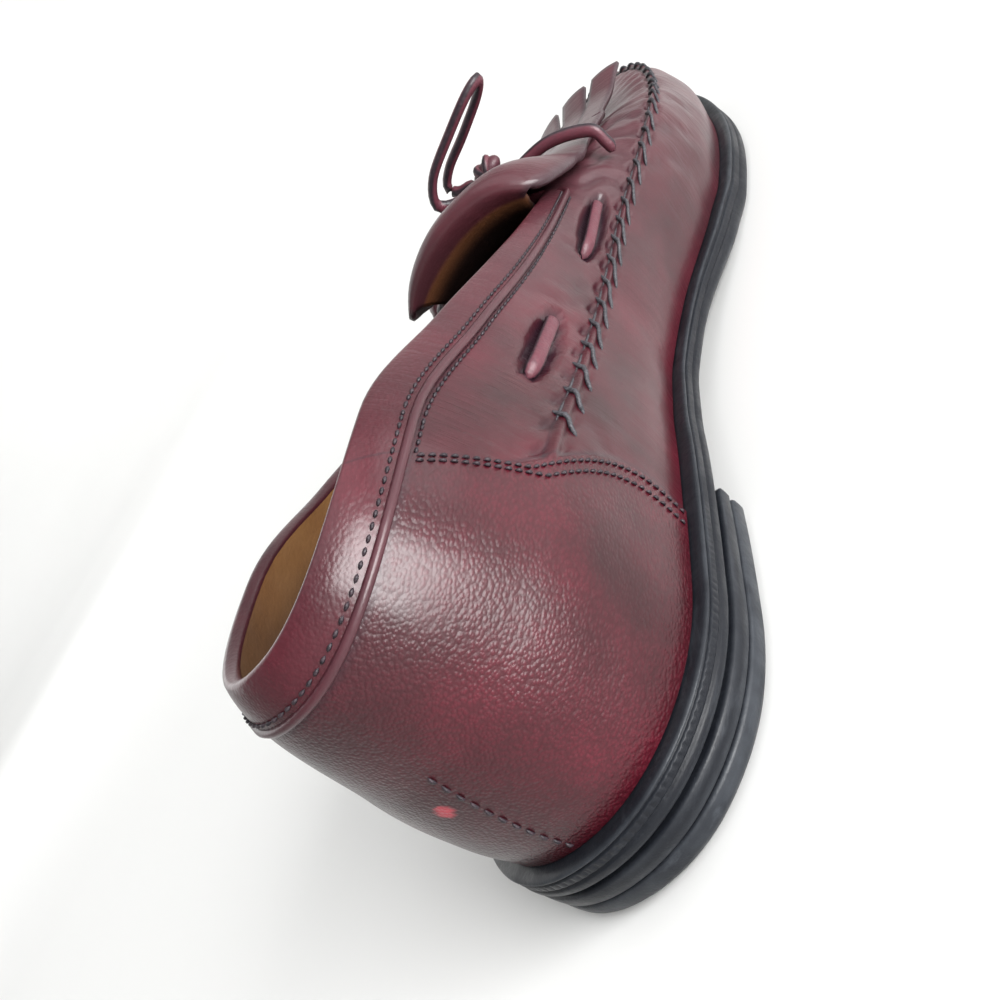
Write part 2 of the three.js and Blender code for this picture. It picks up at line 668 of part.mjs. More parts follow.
// Lace runs that show in the two slots of each side, below the collar band
const SLOT_ROW = 2.34;
const SLOTS = [{ name: 'rear', at: 0.27 }, { name: 'front', at: 0.455 }];
const laceLift = LACE_DIAMETER / 2 + GAP;
[INNER, OUTER].forEach((side) => SLOTS.forEach((slot) => {
  const half = SLOT_LENGTH / SOLE_LENGTH / 2;
  const points = [-1, -0.35, 0.35, 1].map((share) => (
    skin(side, stationAt(slot.at + share * half), SLOT_ROW + 0.02 * share, laceLift + 0.15)));
  add(`lace_run_${slot.name}_${sideName(side)}`, lace(points, 6), laceLeather);
}));

// Lace across the kiltie, from the hole on one side to the hole on the other
const CROSSING_AT = 0.562;
const CROSSING_REACH = 29;
const overKiltie = outsideClear + KILTIE_THICKNESS / 2 + 0.7 + laceLift;
const crossingLifts = [
  { share: 1, lift: laceLift + 0.2 },
  { share: 0.94, lift: laceLift + 2.2 },
  { share: 0.84, lift: overKiltie + 1.1 },
  { share: 0.55, lift: overKiltie + 0.9 },
  { share: 0.2, lift: overKiltie },
];
const crossingSide = (side) => crossingLifts.map((row) => (
  onVamp(side * row.share * CROSSING_REACH, (CROSSING_AT - 0.008 * row.share) * SOLE_LENGTH, row.lift)));
const crossing = [...crossingSide(INNER), ...crossingSide(OUTER).reverse()];
add('lace_crossing', lace(crossing, 26), laceLeather);

// Knot over the middle of the crossing
const KNOT = { wide: 10, deep: 8, high: 6.5 };
const knotCentre = onVamp(0, CROSSING_AT * SOLE_LENGTH, overKiltie + laceLift + KNOT.high / 2);
const knot = new THREE.SphereGeometry(0.5, 14, 9);
knot.deleteAttribute('normal');
knot.deleteAttribute('uv');
knot.rotateX(Math.PI / 2);
knot.scale(KNOT.wide, KNOT.deep, KNOT.high);
knot.translate(knotCentre.x, knotCentre.y, knotCentre.z);
add('lace_knot', mergeVertices(knot, 1e-4), laceLeather);

// Bow loop and tasselled ends, placed from the knot's centre
const fromKnot = (rows) => rows.map(([x, y, z]) => knotCentre.clone().add(new THREE.Vector3(x, y, z)));
const LOOP_ROUTE = [[-5, -1.5, 0.6], [-11, -5, 4], [-17, -8, 10], [-24, -8, 15], [-31, -4, 18],
  [-34, 3, 16], [-29, 8, 10], [-19, 8, 4], [-4.9, 2.6, 0.4]];
add('lace_loop', lace(fromKnot(LOOP_ROUTE), 30), laceLeather);

// A tassel: a cap over a core, with leather strips fused round it
function tassel(from, to) {
  const axis = to.clone().sub(from).normalize();
  const radius = TASSEL_DIAMETER / 2;
  const capLength = TASSEL_LENGTH * 0.26;
  const profile = [[0, 0], [0.42, 0], [0.66, 0.05], [0.74, 0.13], [0.72, 0.2], [0.6, 0.26], [0.5, 0.3],
    [0.62, 0.5], [0.68, 0.9], [0, 0.9]];
  const core = new THREE.LatheGeometry(
    profile.map(([r, l]) => new THREE.Vector2(r * radius, l * TASSEL_LENGTH)), 12);
  core.deleteAttribute('normal');
  core.deleteAttribute('uv');
  const pieces = [facingOut(mergeVertices(core, 1e-4))];
  const strips = 9;
  for (let k = 0; k < strips; k += 1) {
    const turn = 2 * Math.PI * k / strips;
    const length = TASSEL_LENGTH * (0.96 + 0.04 * (k % 2));
    const steps = 3;
    const grid = Array.from({ length: steps + 1 }, (_, i) => {
      const share = i / steps;
      const r = radius * mix(0.56, 0.93, Math.sqrt(share));
      const l = mix(capLength, length, share);
      return [-1, 1].map((j) => {
        const a = turn + j * 0.27;
        return new THREE.Vector3(r * Math.cos(a), l, r * Math.sin(a));
      });
    });
    pieces.push(thicken(grid, 1.3));
  }
  const whole = joined(pieces);
  whole.applyQuaternion(new THREE.Quaternion().setFromUnitVectors(new THREE.Vector3(0, 1, 0), axis));
  whole.translate(from.x, from.y, from.z);
  return whole;
}

const TASSELS = [
  { name: 'front', from: [-20, 0.648], to: [-25, 0.748] },
  { name: 'side', from: [-36, 0.6], to: [-42, 0.685] },
];
const tasselLift = TASSEL_DIAMETER / 2 + GAP;
const TASSEL_REST = { front: overKiltie - laceLift + 0.4, side: 0.6 };
// Lace ends from the knot to the tassels: places from the knot, then across, along and lift
// over the vamp
const LACE_END_ROUTES = {
  front: {
    knot: [[-1.6, 3.8, -1.1], [-3.2, 9, -2.2]],
    over: [[-9, 0.612, overKiltie + 2], [-16, 0.63, overKiltie + 2.6]],
  },
  side: {
    knot: [[-4.8, 0.5, -2], [-12, 1.6, -3.2]],
    over: [[-21, 0.575, overKiltie + 3.4], [-29, 0.582, overKiltie + 1.6]],
  },
};
TASSELS.forEach(({ name, from, to }) => {
  const rest = TASSEL_REST[name] + tasselLift;
  const start = onVamp(from[0], from[1] * SOLE_LENGTH, rest);
  const end = onVamp(to[0], to[1] * SOLE_LENGTH, rest);
  add(`tassel_${name}`, tassel(start, end), burgundy);
  const axis = end.clone().sub(start).normalize();
  const tips = [LACE_DIAMETER, GAP].map((back) => start.clone().addScaledVector(axis, -back));
  const over = LACE_END_ROUTES[name].over.map(([x, at, lift]) => onVamp(x, at * SOLE_LENGTH, lift));
  const route = [...fromKnot(LACE_END_ROUTES[name].knot), ...over, ...tips];
  add(`lace_end_${name}`, lace(route, 16), laceLeather);
});

// The origin is under the middle of the standing shoe
const stand = new THREE.Box3();
loafer.children.forEach((mesh) => {
  if (mesh.name === 'outsole' || mesh.name === 'upper') stand.expandByObject(mesh, true);
});
const middle = stand.getCenter(new THREE.Vector3());
loafer.position.set(-middle.x, -middle.y, 0);

export default loafer;
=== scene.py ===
"""Left tassel loafer in burgundy leather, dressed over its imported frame.

Shapes are worked out in millimetres in the last's own frame (x inner side, y from the back of the
heel to the toe, z up from the floor) and are moved into the row frame, in metres, at the end.
"""
import math
import bmesh
import bpy
import numpy as np
from bpy.props import FloatProperty, FloatVectorProperty, IntProperty, PointerProperty
from mathutils import Matrix, Vector


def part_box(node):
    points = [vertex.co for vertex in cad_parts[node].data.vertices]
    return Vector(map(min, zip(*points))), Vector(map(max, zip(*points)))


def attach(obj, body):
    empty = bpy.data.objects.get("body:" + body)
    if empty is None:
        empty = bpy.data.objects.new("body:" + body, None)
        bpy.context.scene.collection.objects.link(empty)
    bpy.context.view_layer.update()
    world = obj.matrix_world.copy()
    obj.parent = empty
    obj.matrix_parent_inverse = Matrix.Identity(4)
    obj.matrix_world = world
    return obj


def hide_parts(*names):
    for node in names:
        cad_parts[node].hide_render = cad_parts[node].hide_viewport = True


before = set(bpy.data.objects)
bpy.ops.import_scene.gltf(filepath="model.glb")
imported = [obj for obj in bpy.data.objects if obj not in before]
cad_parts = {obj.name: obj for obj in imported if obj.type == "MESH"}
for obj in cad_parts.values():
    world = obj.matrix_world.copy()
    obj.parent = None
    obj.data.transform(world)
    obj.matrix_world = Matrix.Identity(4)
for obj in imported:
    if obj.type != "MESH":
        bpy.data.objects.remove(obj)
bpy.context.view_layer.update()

bl_info = {
    "name": "Tassel Loafer",
    "version": (1, 0, 0),
    "blender": (4, 5, 0),
    "location": "3D View > Sidebar > Loafer",
    "description": "Builds a burgundy tassel loafer with a fringed kiltie",
    "category": "Add Mesh",
}

# The last: the named sizes that the solids were made with, in millimetres
SOLE_LENGTH, HEEL_WIDTH, BALL_WIDTH = 300.0, 62.0, 97.0
HEEL_SEAT, FOREFOOT, TOE_SPRING = 16.0, 8.5, 9.5
BACK_HEIGHT, INSTEP_HEIGHT, SEAM_HEIGHT = 56.0, 57.0, 36.0
INSTEP_LEAN, OUTER_COLLAR_DROP, SOLE_EDGE, WALL, GAP = 12.0, 4.0, 3.5, 2.0, 0.3
WAIST_SOLE, TOP_LIFT, INSOLE_THICKNESS = 6.2, 5.0, 3.0
COUNTER_STEP, BAND_STEP, SEAM_RISE = 0.7, 0.8, 1.1
HEEL_CENTRE, THROAT, TOE_CENTRE, COUNTER_SEAM = 0.133, 0.49, 0.74, 0.2
ROUNDNESS, HEEL_BREAST, BAND_START = 0.93, 0.237, 2.74
COUNTER_LEAN, COUNTER_CURVE = 0.33, 3.5
INNER, OUTER = 1, -1


def table(names, rows):
    """Columns of a small table of sizes by name."""
    values = np.array(rows, float)
    return {name: values[:, k] for k, name in enumerate(names.split())}


PLAN = table("at inner outer arch", [
    (0.133, 0.5, 0.5, 1), (0.25, 0.478, 0.512, 0.9), (0.333, 0.43, 0.505, 0.72),
    (0.4, 0.372, 0.47, 0.53), (0.5, 0.352, 0.462, 0.29), (0.6, 0.415, 0.492, 0.09),
    (0.65, 0.455, 0.512, 0), (0.74, 0.48, 0.52, 0)])
SECTIONS = table("at belly seam_out seam collar_out collar ridge", [
    (0.133, 1.065, 1.07, 1.31, 0.78, 1.06, 1.47), (0.25, 1.09, 1.09, 1.17, 0.87, 0.96, 1.35),
    (0.333, 1.13, 1.1, 1.065, 0.92, 0.875, 1.27), (0.4, 1.13, 1.1, 1.015, 0.86, 0.81, 1.15),
    (0.5, 1.08, 1.04, 1.01, 0.62, 0.728, 1), (0.533, 1.07, 1.02, 1.01, 0.6, 0.703, 0.965),
    (0.6, 1.05, 0.98, 1.01, 0.55, 0.65, 0.885), (0.667, 1.04, 0.94, 1, 0.53, 0.597, 0.8),
    (0.74, 1.035, 0.9, 0.95, 0.52, 0.54, 0.715)])
BACK_LINE = table("out up", [(1, 0), (1.055, 0.18), (1.06, 0.46), (0.97, 1), (0.25, 1.3)])
TOE_LINE = table("out up", [(1, 0), (1.015, 0.13), (0.84, 0.27), (0.44, 0.35), (0, 0.41)])
RIDGE_TAIL = float(np.diff(SECTIONS["ridge"])[-1] / np.diff(SECTIONS["at"])[-1])
SHIFT = np.array([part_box("outsole")[0][0] * 1000 + 0.52 * BALL_WIDTH, -SOLE_LENGTH / 2, 0.0])


def mix(a, b, t):
    """Straight blend from a to b."""
    return a + (b - a) * t


def smooth(low, high, value):
    """Blend that rises from 0 at low to 1 at high with level ends."""
    t = np.clip((np.asarray(value, float) - low) / (high - low), 0, 1)
    return t * t * (3 - 2 * t)


def bell(value, middle, width):
    """Soft hump of height 1."""
    return np.exp(-((np.asarray(value, float) - middle) / width) ** 2)


def unit(v):
    """Vectors of length 1."""
    return v / np.maximum(np.linalg.norm(v, axis=-1, keepdims=True), 1e-9)


def column(columns, name, at, tail=0.0):
    """Cubic curve through one column, level at its start, with slope tail at its end."""
    x, v = columns["at"], columns[name]
    i = np.clip(np.searchsorted(x, at, side="right") - 1, 0, len(x) - 2)
    m = np.zeros(len(x))
    m[1:-1] = (v[2:] - v[:-2]) / (x[2:] - x[:-2])
    m[-1] = tail
    h = x[i + 1] - x[i]
    t = np.clip((at - x[i]) / h, 0, 1)
    return (v[i] * (2 * t**3 - 3 * t**2 + 1) + v[i + 1] * (3 * t**2 - 2 * t**3)
            + m[i] * h * (t**3 - 2 * t**2 + t) + m[i + 1] * h * (t**3 - t**2))


def through(values, row, beyond=None):
    """Catmull-Rom curve through control rows; beyond is the value one step past the last."""
    first = 2 * values[0] - values[1]
    last = 2 * values[-1] - values[-2] if beyond is None else beyond
    ext = np.concatenate([first[None], values, last[None]])
    shape = np.broadcast_shapes(ext.shape[1:], np.shape(row))
    ext = np.broadcast_to(ext, (ext.shape[0],) + shape)
    row = np.broadcast_to(row, shape)
    i = np.clip(np.floor(row).astype(int), 0, len(values) - 2)
    t = row - i
    p = [np.take_along_axis(ext, (i + k)[None], 0)[0] for k in range(4)]
    return 0.5 * (2 * p[1] + (p[2] - p[0]) * t + (2 * p[0] - 5 * p[1] + 4 * p[2] - p[3]) * t**2
                  + (3 * p[1] - p[0] - 3 * p[2] + p[3]) * t**3)


def width_at(at):
    """Full width of the sole's plan."""
    return mix(HEEL_WIDTH, BALL_WIDTH, smooth(0.3, 0.6, at))


def edge_half(side, at):
    """Half width of the sole edge on one side."""
    return column(PLAN, "inner" if side == INNER else "outer", at) * width_at(at)


def bottom_height(y):
    """Height of the upper's bottom edge: heel seat, arch and toe spring."""
    at = np.asarray(y, float) / SOLE_LENGTH
    toe = np.maximum(0, (at - TOE_CENTRE) / (1 - TOE_CENTRE))
    arch = np.maximum(0, column(PLAN, "arch", np.clip(at, HEEL_CENTRE, TOE_CENTRE)))
    return mix(FOREFOOT, HEEL_SEAT, arch) + TOE_SPRING * toe**2


def place_of(station):
    """Share of the length and turn of a station: 0-1 heel turn, 1-2 side, 2-3 toe turn."""
    s = np.asarray(station, float)
    at = mix(HEEL_CENTRE, TOE_CENTRE, np.clip(s - 1, 0, 1))
    turn = np.where(s < 1, 1 - s, np.where(s > 2, s - 2, 0)) * math.pi / 2
    return at, turn, s < 1, s > 2


def station_at(at):
    """Station of a share of the length along the side."""
    return 1 + (at - HEEL_CENTRE) / (TOE_CENTRE - HEEL_CENTRE)


def round_power(value):
    """Slightly squared circle of the heel and toe turns."""
    return np.maximum(value, 0) ** ROUNDNESS


def plan_point(side, station, offset):
    """Point of the sole's plan, moved out by offset, at the height of the upper's edge."""
    at, turn, heel, toe = place_of(station)
    across, along = round_power(np.cos(turn)), round_power(np.sin(turn))
    x = side * (edge_half(side, at) + offset) * across
    reach = np.where(toe, 1 - TOE_CENTRE, HEEL_CENTRE) * SOLE_LENGTH + offset
    y = at * SOLE_LENGTH + np.where(toe, 1, -1) * along * reach
    return np.stack([x, y, bottom_height(y)], -1)


def controls(side, station):
    """Control rows of a half section: out, along and up for bottom, belly, seam, collar, ridge."""
    at, turn, heel, toe = place_of(station)
    bottom = bottom_height(at * SOLE_LENGTH)
    half = edge_half(side, at) - SOLE_EDGE
    get = lambda name: column(SECTIONS, name, at)
    seam_up = get("seam") * SEAM_HEIGHT
    drop = OUTER_COLLAR_DROP * (1 - smooth(0.3, 0.46, at)) if side == OUTER else 0
    ridge = column(SECTIONS, "ridge", at, RIDGE_TAIL) * INSTEP_HEIGHT
    collar = get("collar") * (HEEL_SEAT + BACK_HEIGHT) - drop
    out = np.stack([half, half * get("belly"), half * get("seam_out"), half * get("collar_out"), 0 * half])
    up = np.stack([bottom, mix(bottom, seam_up, 0.45), seam_up, collar, ridge])
    across, along = round_power(np.cos(turn)), round_power(np.sin(turn))
    share = np.sin(turn) ** 2
    reach = np.where(toe, 1 - TOE_CENTRE, HEEL_CENTRE) * SOLE_LENGTH - SOLE_EDGE
    sign, rise = np.where(toe, 1, -1), np.where(toe, TOE_SPRING, 0)
    pick = lambda k, name: np.where(toe, TOE_LINE[name][k], BACK_LINE[name][k])
    y = np.stack([at * SOLE_LENGTH + sign * along * reach * pick(k, "out") for k in range(5)])
    z = []
    for k in range(5):
        end = bottom + rise + pick(k, "up") * BACK_HEIGHT
        if k == 4:
            end = np.where(toe, up[4], end)
        z.append(bottom_height(y[0]) if k == 0 else mix(up[k], end, share))
    z = np.stack(z)
    fall = np.where(toe, RIDGE_TAIL * INSTEP_HEIGHT / SOLE_LENGTH, 0)
    return out * across, y, z, z[3] + 2 * fall * (y[4] - y[3])


def leaned(station, row):
    """Stations that lean back with height, so that the counter seam does."""
    seam = station_at(COUNTER_SEAM)
    near = smooth(0, seam, station) * (1 - smooth(seam, 1.5, station))
    return station - COUNTER_LEAN * near * (np.clip(row, 0, 3) / 3) ** COUNTER_CURVE


def last_point(side, station, row):
    """Outer face of the last at a station and row."""
    x, y, z, beyond = controls(side, station)
    return np.stack([side * np.maximum(0, through(x, row)), through(y, row), through(z, row, beyond)], -1)


def last_normal(side, station, row):
    """Outward normal of the last, level at the bottom edge."""
    d = 0.004
    s, r = np.clip(station, d, 3 - d), np.clip(row, d, 4 - d)
    n = np.cross(last_point(side, s + d, r) - last_point(side, s - d, r),
                 last_point(side, s, r + d) - last_point(side, s, r - d)) * side
    flat = (row > 3.98) | (station > 2.98) | (station < 0.02) | (np.linalg.norm(n, axis=-1) < 1e-9)
    n[..., 0] = np.where(flat, 0, n[..., 0])
    pole = (row > 3.98) & (station >= 2)
    n = unit(np.where(pole[..., None], np.array([0, 0.3, 0.954]), n))
    n[..., 2] *= smooth(0, 0.5, row)
    return unit(n)


def skin(side, station, row, lift=0.0):
    """Face of the upper, lifted along the normal. On the centre line both sides give one point."""
    station, row = np.broadcast_arrays(np.asarray(station, float), np.asarray(row, float))
    lift = np.broadcast_to(lift, station.shape)[..., None]
    both = [last_point(w, station, row) + last_normal(w, station, row) * lift for w in (side, -side)]
    centred = (station < 1e-6) | (station > 3 - 1e-6) | (row > 4 - 1e-6)
    middle = (both[0] + both[1]) / 2
    middle[..., 0] = 0
    p = np.where(centred[..., None], middle, both[0])
    p[..., 2] = np.where(row < 1e-6, bottom_height(p[..., 1]), p[..., 2])
    return p


def lean(p):
    """The instep of a left foot's last leans toward the inner side."""
    at = p[..., 1] / SOLE_LENGTH
    along = smooth(0.2, 0.55, at) * (1 - smooth(0.64, 0.97, at))
    up = np.maximum(0, (p[..., 2] - FOREFOOT) / (INSTEP_HEIGHT - FOREFOOT))
    q = p.copy()
    q[..., 0] += INSTEP_LEAN * along * up
    return q


def on_vamp(x, y, lift):
    """Point of the vamp over (x, y), found by halving the row, lifted along the normal."""
    x, y, lift = np.broadcast_arrays(np.asarray(x, float), np.asarray(y, float), np.asarray(lift, float))
    result = np.zeros(x.shape + (3,))
    for side in (INNER, OUTER):
        at = y / SOLE_LENGTH
        toe = at > TOE_CENTRE
        base = np.where(toe, 2.0, station_at(at))
        cx = controls(side, base)[0]
        ty = controls(side, np.full(x.shape, 3.0))[1]
        low, high = np.full(x.shape, 1.6), np.full(x.shape, 4.0)
        power = 2 / ROUNDNESS
        ahead = np.maximum(y - TOE_CENTRE * SOLE_LENGTH, 0)
        for _ in range(40):
            mid = (low + high) / 2
            half = np.maximum(through(cx, mid), 1e-6)
            reach = np.maximum(through(ty, mid) - TOE_CENTRE * SOLE_LENGTH, 1e-6)
            inside = np.where(toe, (abs(x) / half) ** power + (ahead / reach) ** power, abs(x) / half)
            low, high = np.where(inside < 1, mid, low), np.where(inside < 1, high, mid)
        row = (low + high) / 2
        half = np.maximum(through(cx, row), 1e-6)
        reach = np.maximum(through(ty, row) - TOE_CENTRE * SOLE_LENGTH, 1e-6)
        turn = np.arctan2((ahead / reach) ** (power / 2), (abs(x) / half) ** (power / 2))
        station = np.where(toe, 2 + turn / (math.pi / 2), base)
        use = (x < 0) if side == OUTER else (x >= 0)
        result[use] = skin(side, station, row, lift)[use]
    return result


def spline(points, count):
    """Smooth curve through given points, count points evenly spaced by length."""
    p = np.asarray(points, float)
    ext = np.concatenate([[2 * p[0] - p[1]], p, [2 * p[-1] - p[-2]]])
    t = np.linspace(0, len(p) - 1 - 1e-9, count * 6)
    i = t.astype(int)
    f = (t - i)[:, None]
    a, b, c, d = ext[i], ext[i + 1], ext[i + 2], ext[i + 3]
    dense = 0.5 * (2 * b + (c - a) * f + (2 * a - 5 * b + 4 * c - d) * f**2 + (3 * b - a - 3 * c + d) * f**3)
    return resample(dense, count)


def lengths(points):
    """Running length along a line of points."""
    return np.concatenate([[0], np.cumsum(np.linalg.norm(np.diff(points, axis=0), axis=1))])


def resample(points, count):
    """The same line with count points evenly spaced by length."""
    run = lengths(points)
    want = np.linspace(0, run[-1], count)
    return np.stack([np.interp(want, run, points[:, k]) for k in range(3)], -1)


def to_row(points):
    """From millimetres of the last to metres of the row frame."""
    return (lean(points) + SHIFT) / 1000


# Meshes
def grid_faces(rows, columns, wrap=False, flip=False):
    """Quads between neighbouring rows and columns of a grid of points."""
    i, j = np.meshgrid(np.arange(rows - 1), np.arange(columns if wrap else columns - 1), indexing="ij")
    k = (j + 1) % columns
    quads = np.stack([i * columns + j, i * columns + k, (i + 1) * columns + k, (i + 1) * columns + j], -1)
    quads = quads.reshape(-1, 4)
    return quads[:, ::-1] if flip else quads


class Parts:
    """Grids gathered into one mesh, with one number per point for each named mark."""

    def __init__(self):
        self.points, self.faces, self.marks, self.count = [], [], [], 0

    def add(self, points, *groups, **marks):
        """Adds one grid with its groups of faces, each an array of point numbers."""
        flat = points.reshape(-1, 3)
        self.points.append(flat)
        self.faces += [np.asarray(group) + self.count for group in groups]
        self.marks.append({k: np.broadcast_to(v, points.shape[:-1]).reshape(-1) for k, v in marks.items()})
        self.count += len(flat)

    def piece(self, name, materials, slot, replaced=(), merge=0.0, outward=False, leaning=True):
        """The object, in the row frame, riding on the shoe."""
        points = np.concatenate(self.points)
        points = to_row(points) if leaning else (points + SHIFT) / 1000
        mesh = bpy.data.meshes.new(name)
        faces = [f for group in self.faces for f in group.tolist()]
        mesh.from_pydata(points.tolist(), [], faces)
        for mark in sorted({k for marks in self.marks for k in marks}):
            values = np.concatenate([m.get(mark, np.zeros(len(p))) for m, p in zip(self.marks, self.points)])
            mesh.attributes.new(mark, "FLOAT", "POINT").data.foreach_set("value", values.astype(np.float32))
        if merge or outward:
            work = bmesh.new()
            work.from_mesh(mesh)
            bmesh.ops.remove_doubles(work, verts=work.verts, dist=max(merge, 1e-7))
            bmesh.ops.dissolve_degenerate(work, dist=1e-8, edges=work.edges)
            loose = [v for v in work.verts if not v.link_faces]
            bmesh.ops.delete(work, geom=loose, context="VERTS")
            if outward:
                bmesh.ops.recalc_face_normals(work, faces=work.faces)
            work.to_mesh(mesh)
            work.free()
        mesh.polygons.foreach_set("use_smooth", [True] * len(mesh.polygons))
        for material in materials:
            mesh.materials.append(material)
        obj = bpy.data.objects.new(name, mesh)
        bpy.context.scene.collection.objects.link(obj)
        if replaced:
            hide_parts(*replaced)
        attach(obj, "root")
        return obj


def tube_points(paths, radius, facing, sides=8, flat=1.0):
    """Rings round many paths at once: paths (n, m, 3), facing the direction a ring's flat side
    looks, flat the thickness along it as a share of the width."""
    t = unit(np.gradient(paths, axis=1))
    b = unit(np.cross(t, np.broadcast_to(facing, paths.shape)))
    n = np.cross(b, t)
    a = np.arange(sides) * 2 * math.pi / sides
    r = np.broadcast_to(radius, paths.shape[:2])[..., None, None]
    ring = b[:, :, None] * np.cos(a)[:, None] + n[:, :, None] * np.sin(a)[:, None] * flat
    return paths[:, :, None] + ring * r


def add_tubes(parts, paths, radius, facing, sides=8, flat=1.0, **marks):
    """Closed tubes along paths. The radius falls off over the two rings at each end, and the
    mark edge is the cube of the cosine of the angle from a ring's wide side."""
    n, m = paths.shape[:2]
    ends = np.ones(m)
    ends[[0, -1]] = 0.05
    ends[[1, -2]] = 0.8
    rings = tube_points(paths, np.broadcast_to(radius, (n, m)) * ends, facing, sides, flat)
    first = (np.arange(n) * m * sides)[:, None]
    quads = (grid_faces(m, sides, wrap=True, flip=True)[None] + first[:, :, None]).reshape(-1, 4)
    ring = np.arange(sides)
    edge = np.abs(np.cos(ring * 2 * math.pi / sides)) ** 3
    parts.add(rings, quads, first + ring, first + (m - 1) * sides + ring[::-1],
              edge=np.broadcast_to(edge, rings.shape[:-1]), **marks)


def end_rings(rows, sides):
    """The two faces that close a grid of rings at its first and last ring."""
    ring = np.arange(sides)
    return ring[None], ((rows - 1) * sides + ring[::-1])[None]


def add_sheets(parts, middle, thickness, **marks):
    """Closed sheets round grids of middle points (n, rows, columns, 3), edges slightly rounded."""
    across = np.gradient(middle, axis=2)
    along = np.gradient(middle, axis=1)
    normal = unit(np.cross(along, across))
    out = unit(across)
    n, rows, columns = middle.shape[:3]
    half = thickness / 2
    top, low = middle + normal * half, middle - normal * half
    left = middle[:, :, :1] - out[:, :, :1] * half * 0.6
    right = middle[:, :, -1:] + out[:, :, -1:] * half * 0.6
    ring = np.concatenate([left, top, right, low[:, :, ::-1]], axis=2)
    width = ring.shape[2]
    first, last = middle[:, :1], middle[:, -1:]

    def cap(line, shift):
        """An end line of the sheet, run out and back as a flat ring."""
        return np.concatenate([line[:, :, :1], line, line[:, :, -1:], line[:, :, ::-1]], axis=2) + shift

    step_a = -unit(along[:, :1]).mean(axis=2, keepdims=True)
    step_b = unit(along[:, -1:]).mean(axis=2, keepdims=True)
    ring = np.concatenate([cap(first, step_a * half * 0.6), ring, cap(last, step_b * half * 0.6)], axis=1)
    rows += 2
    quads = grid_faces(rows, width, wrap=True)
    faces = (quads[None] + (np.arange(n) * rows * width)[:, None, None]).reshape(-1, 4)
    rim = np.ones((rows, width))
    rim[1:-1, 2:columns] = 0
    rim[1:-1, columns + 3:-1] = 0
    rim[:2] = 1
    rim[-2:] = 1
    parts.add(ring, faces, rim=np.broadcast_to(rim, ring.shape[:-1]), **marks)


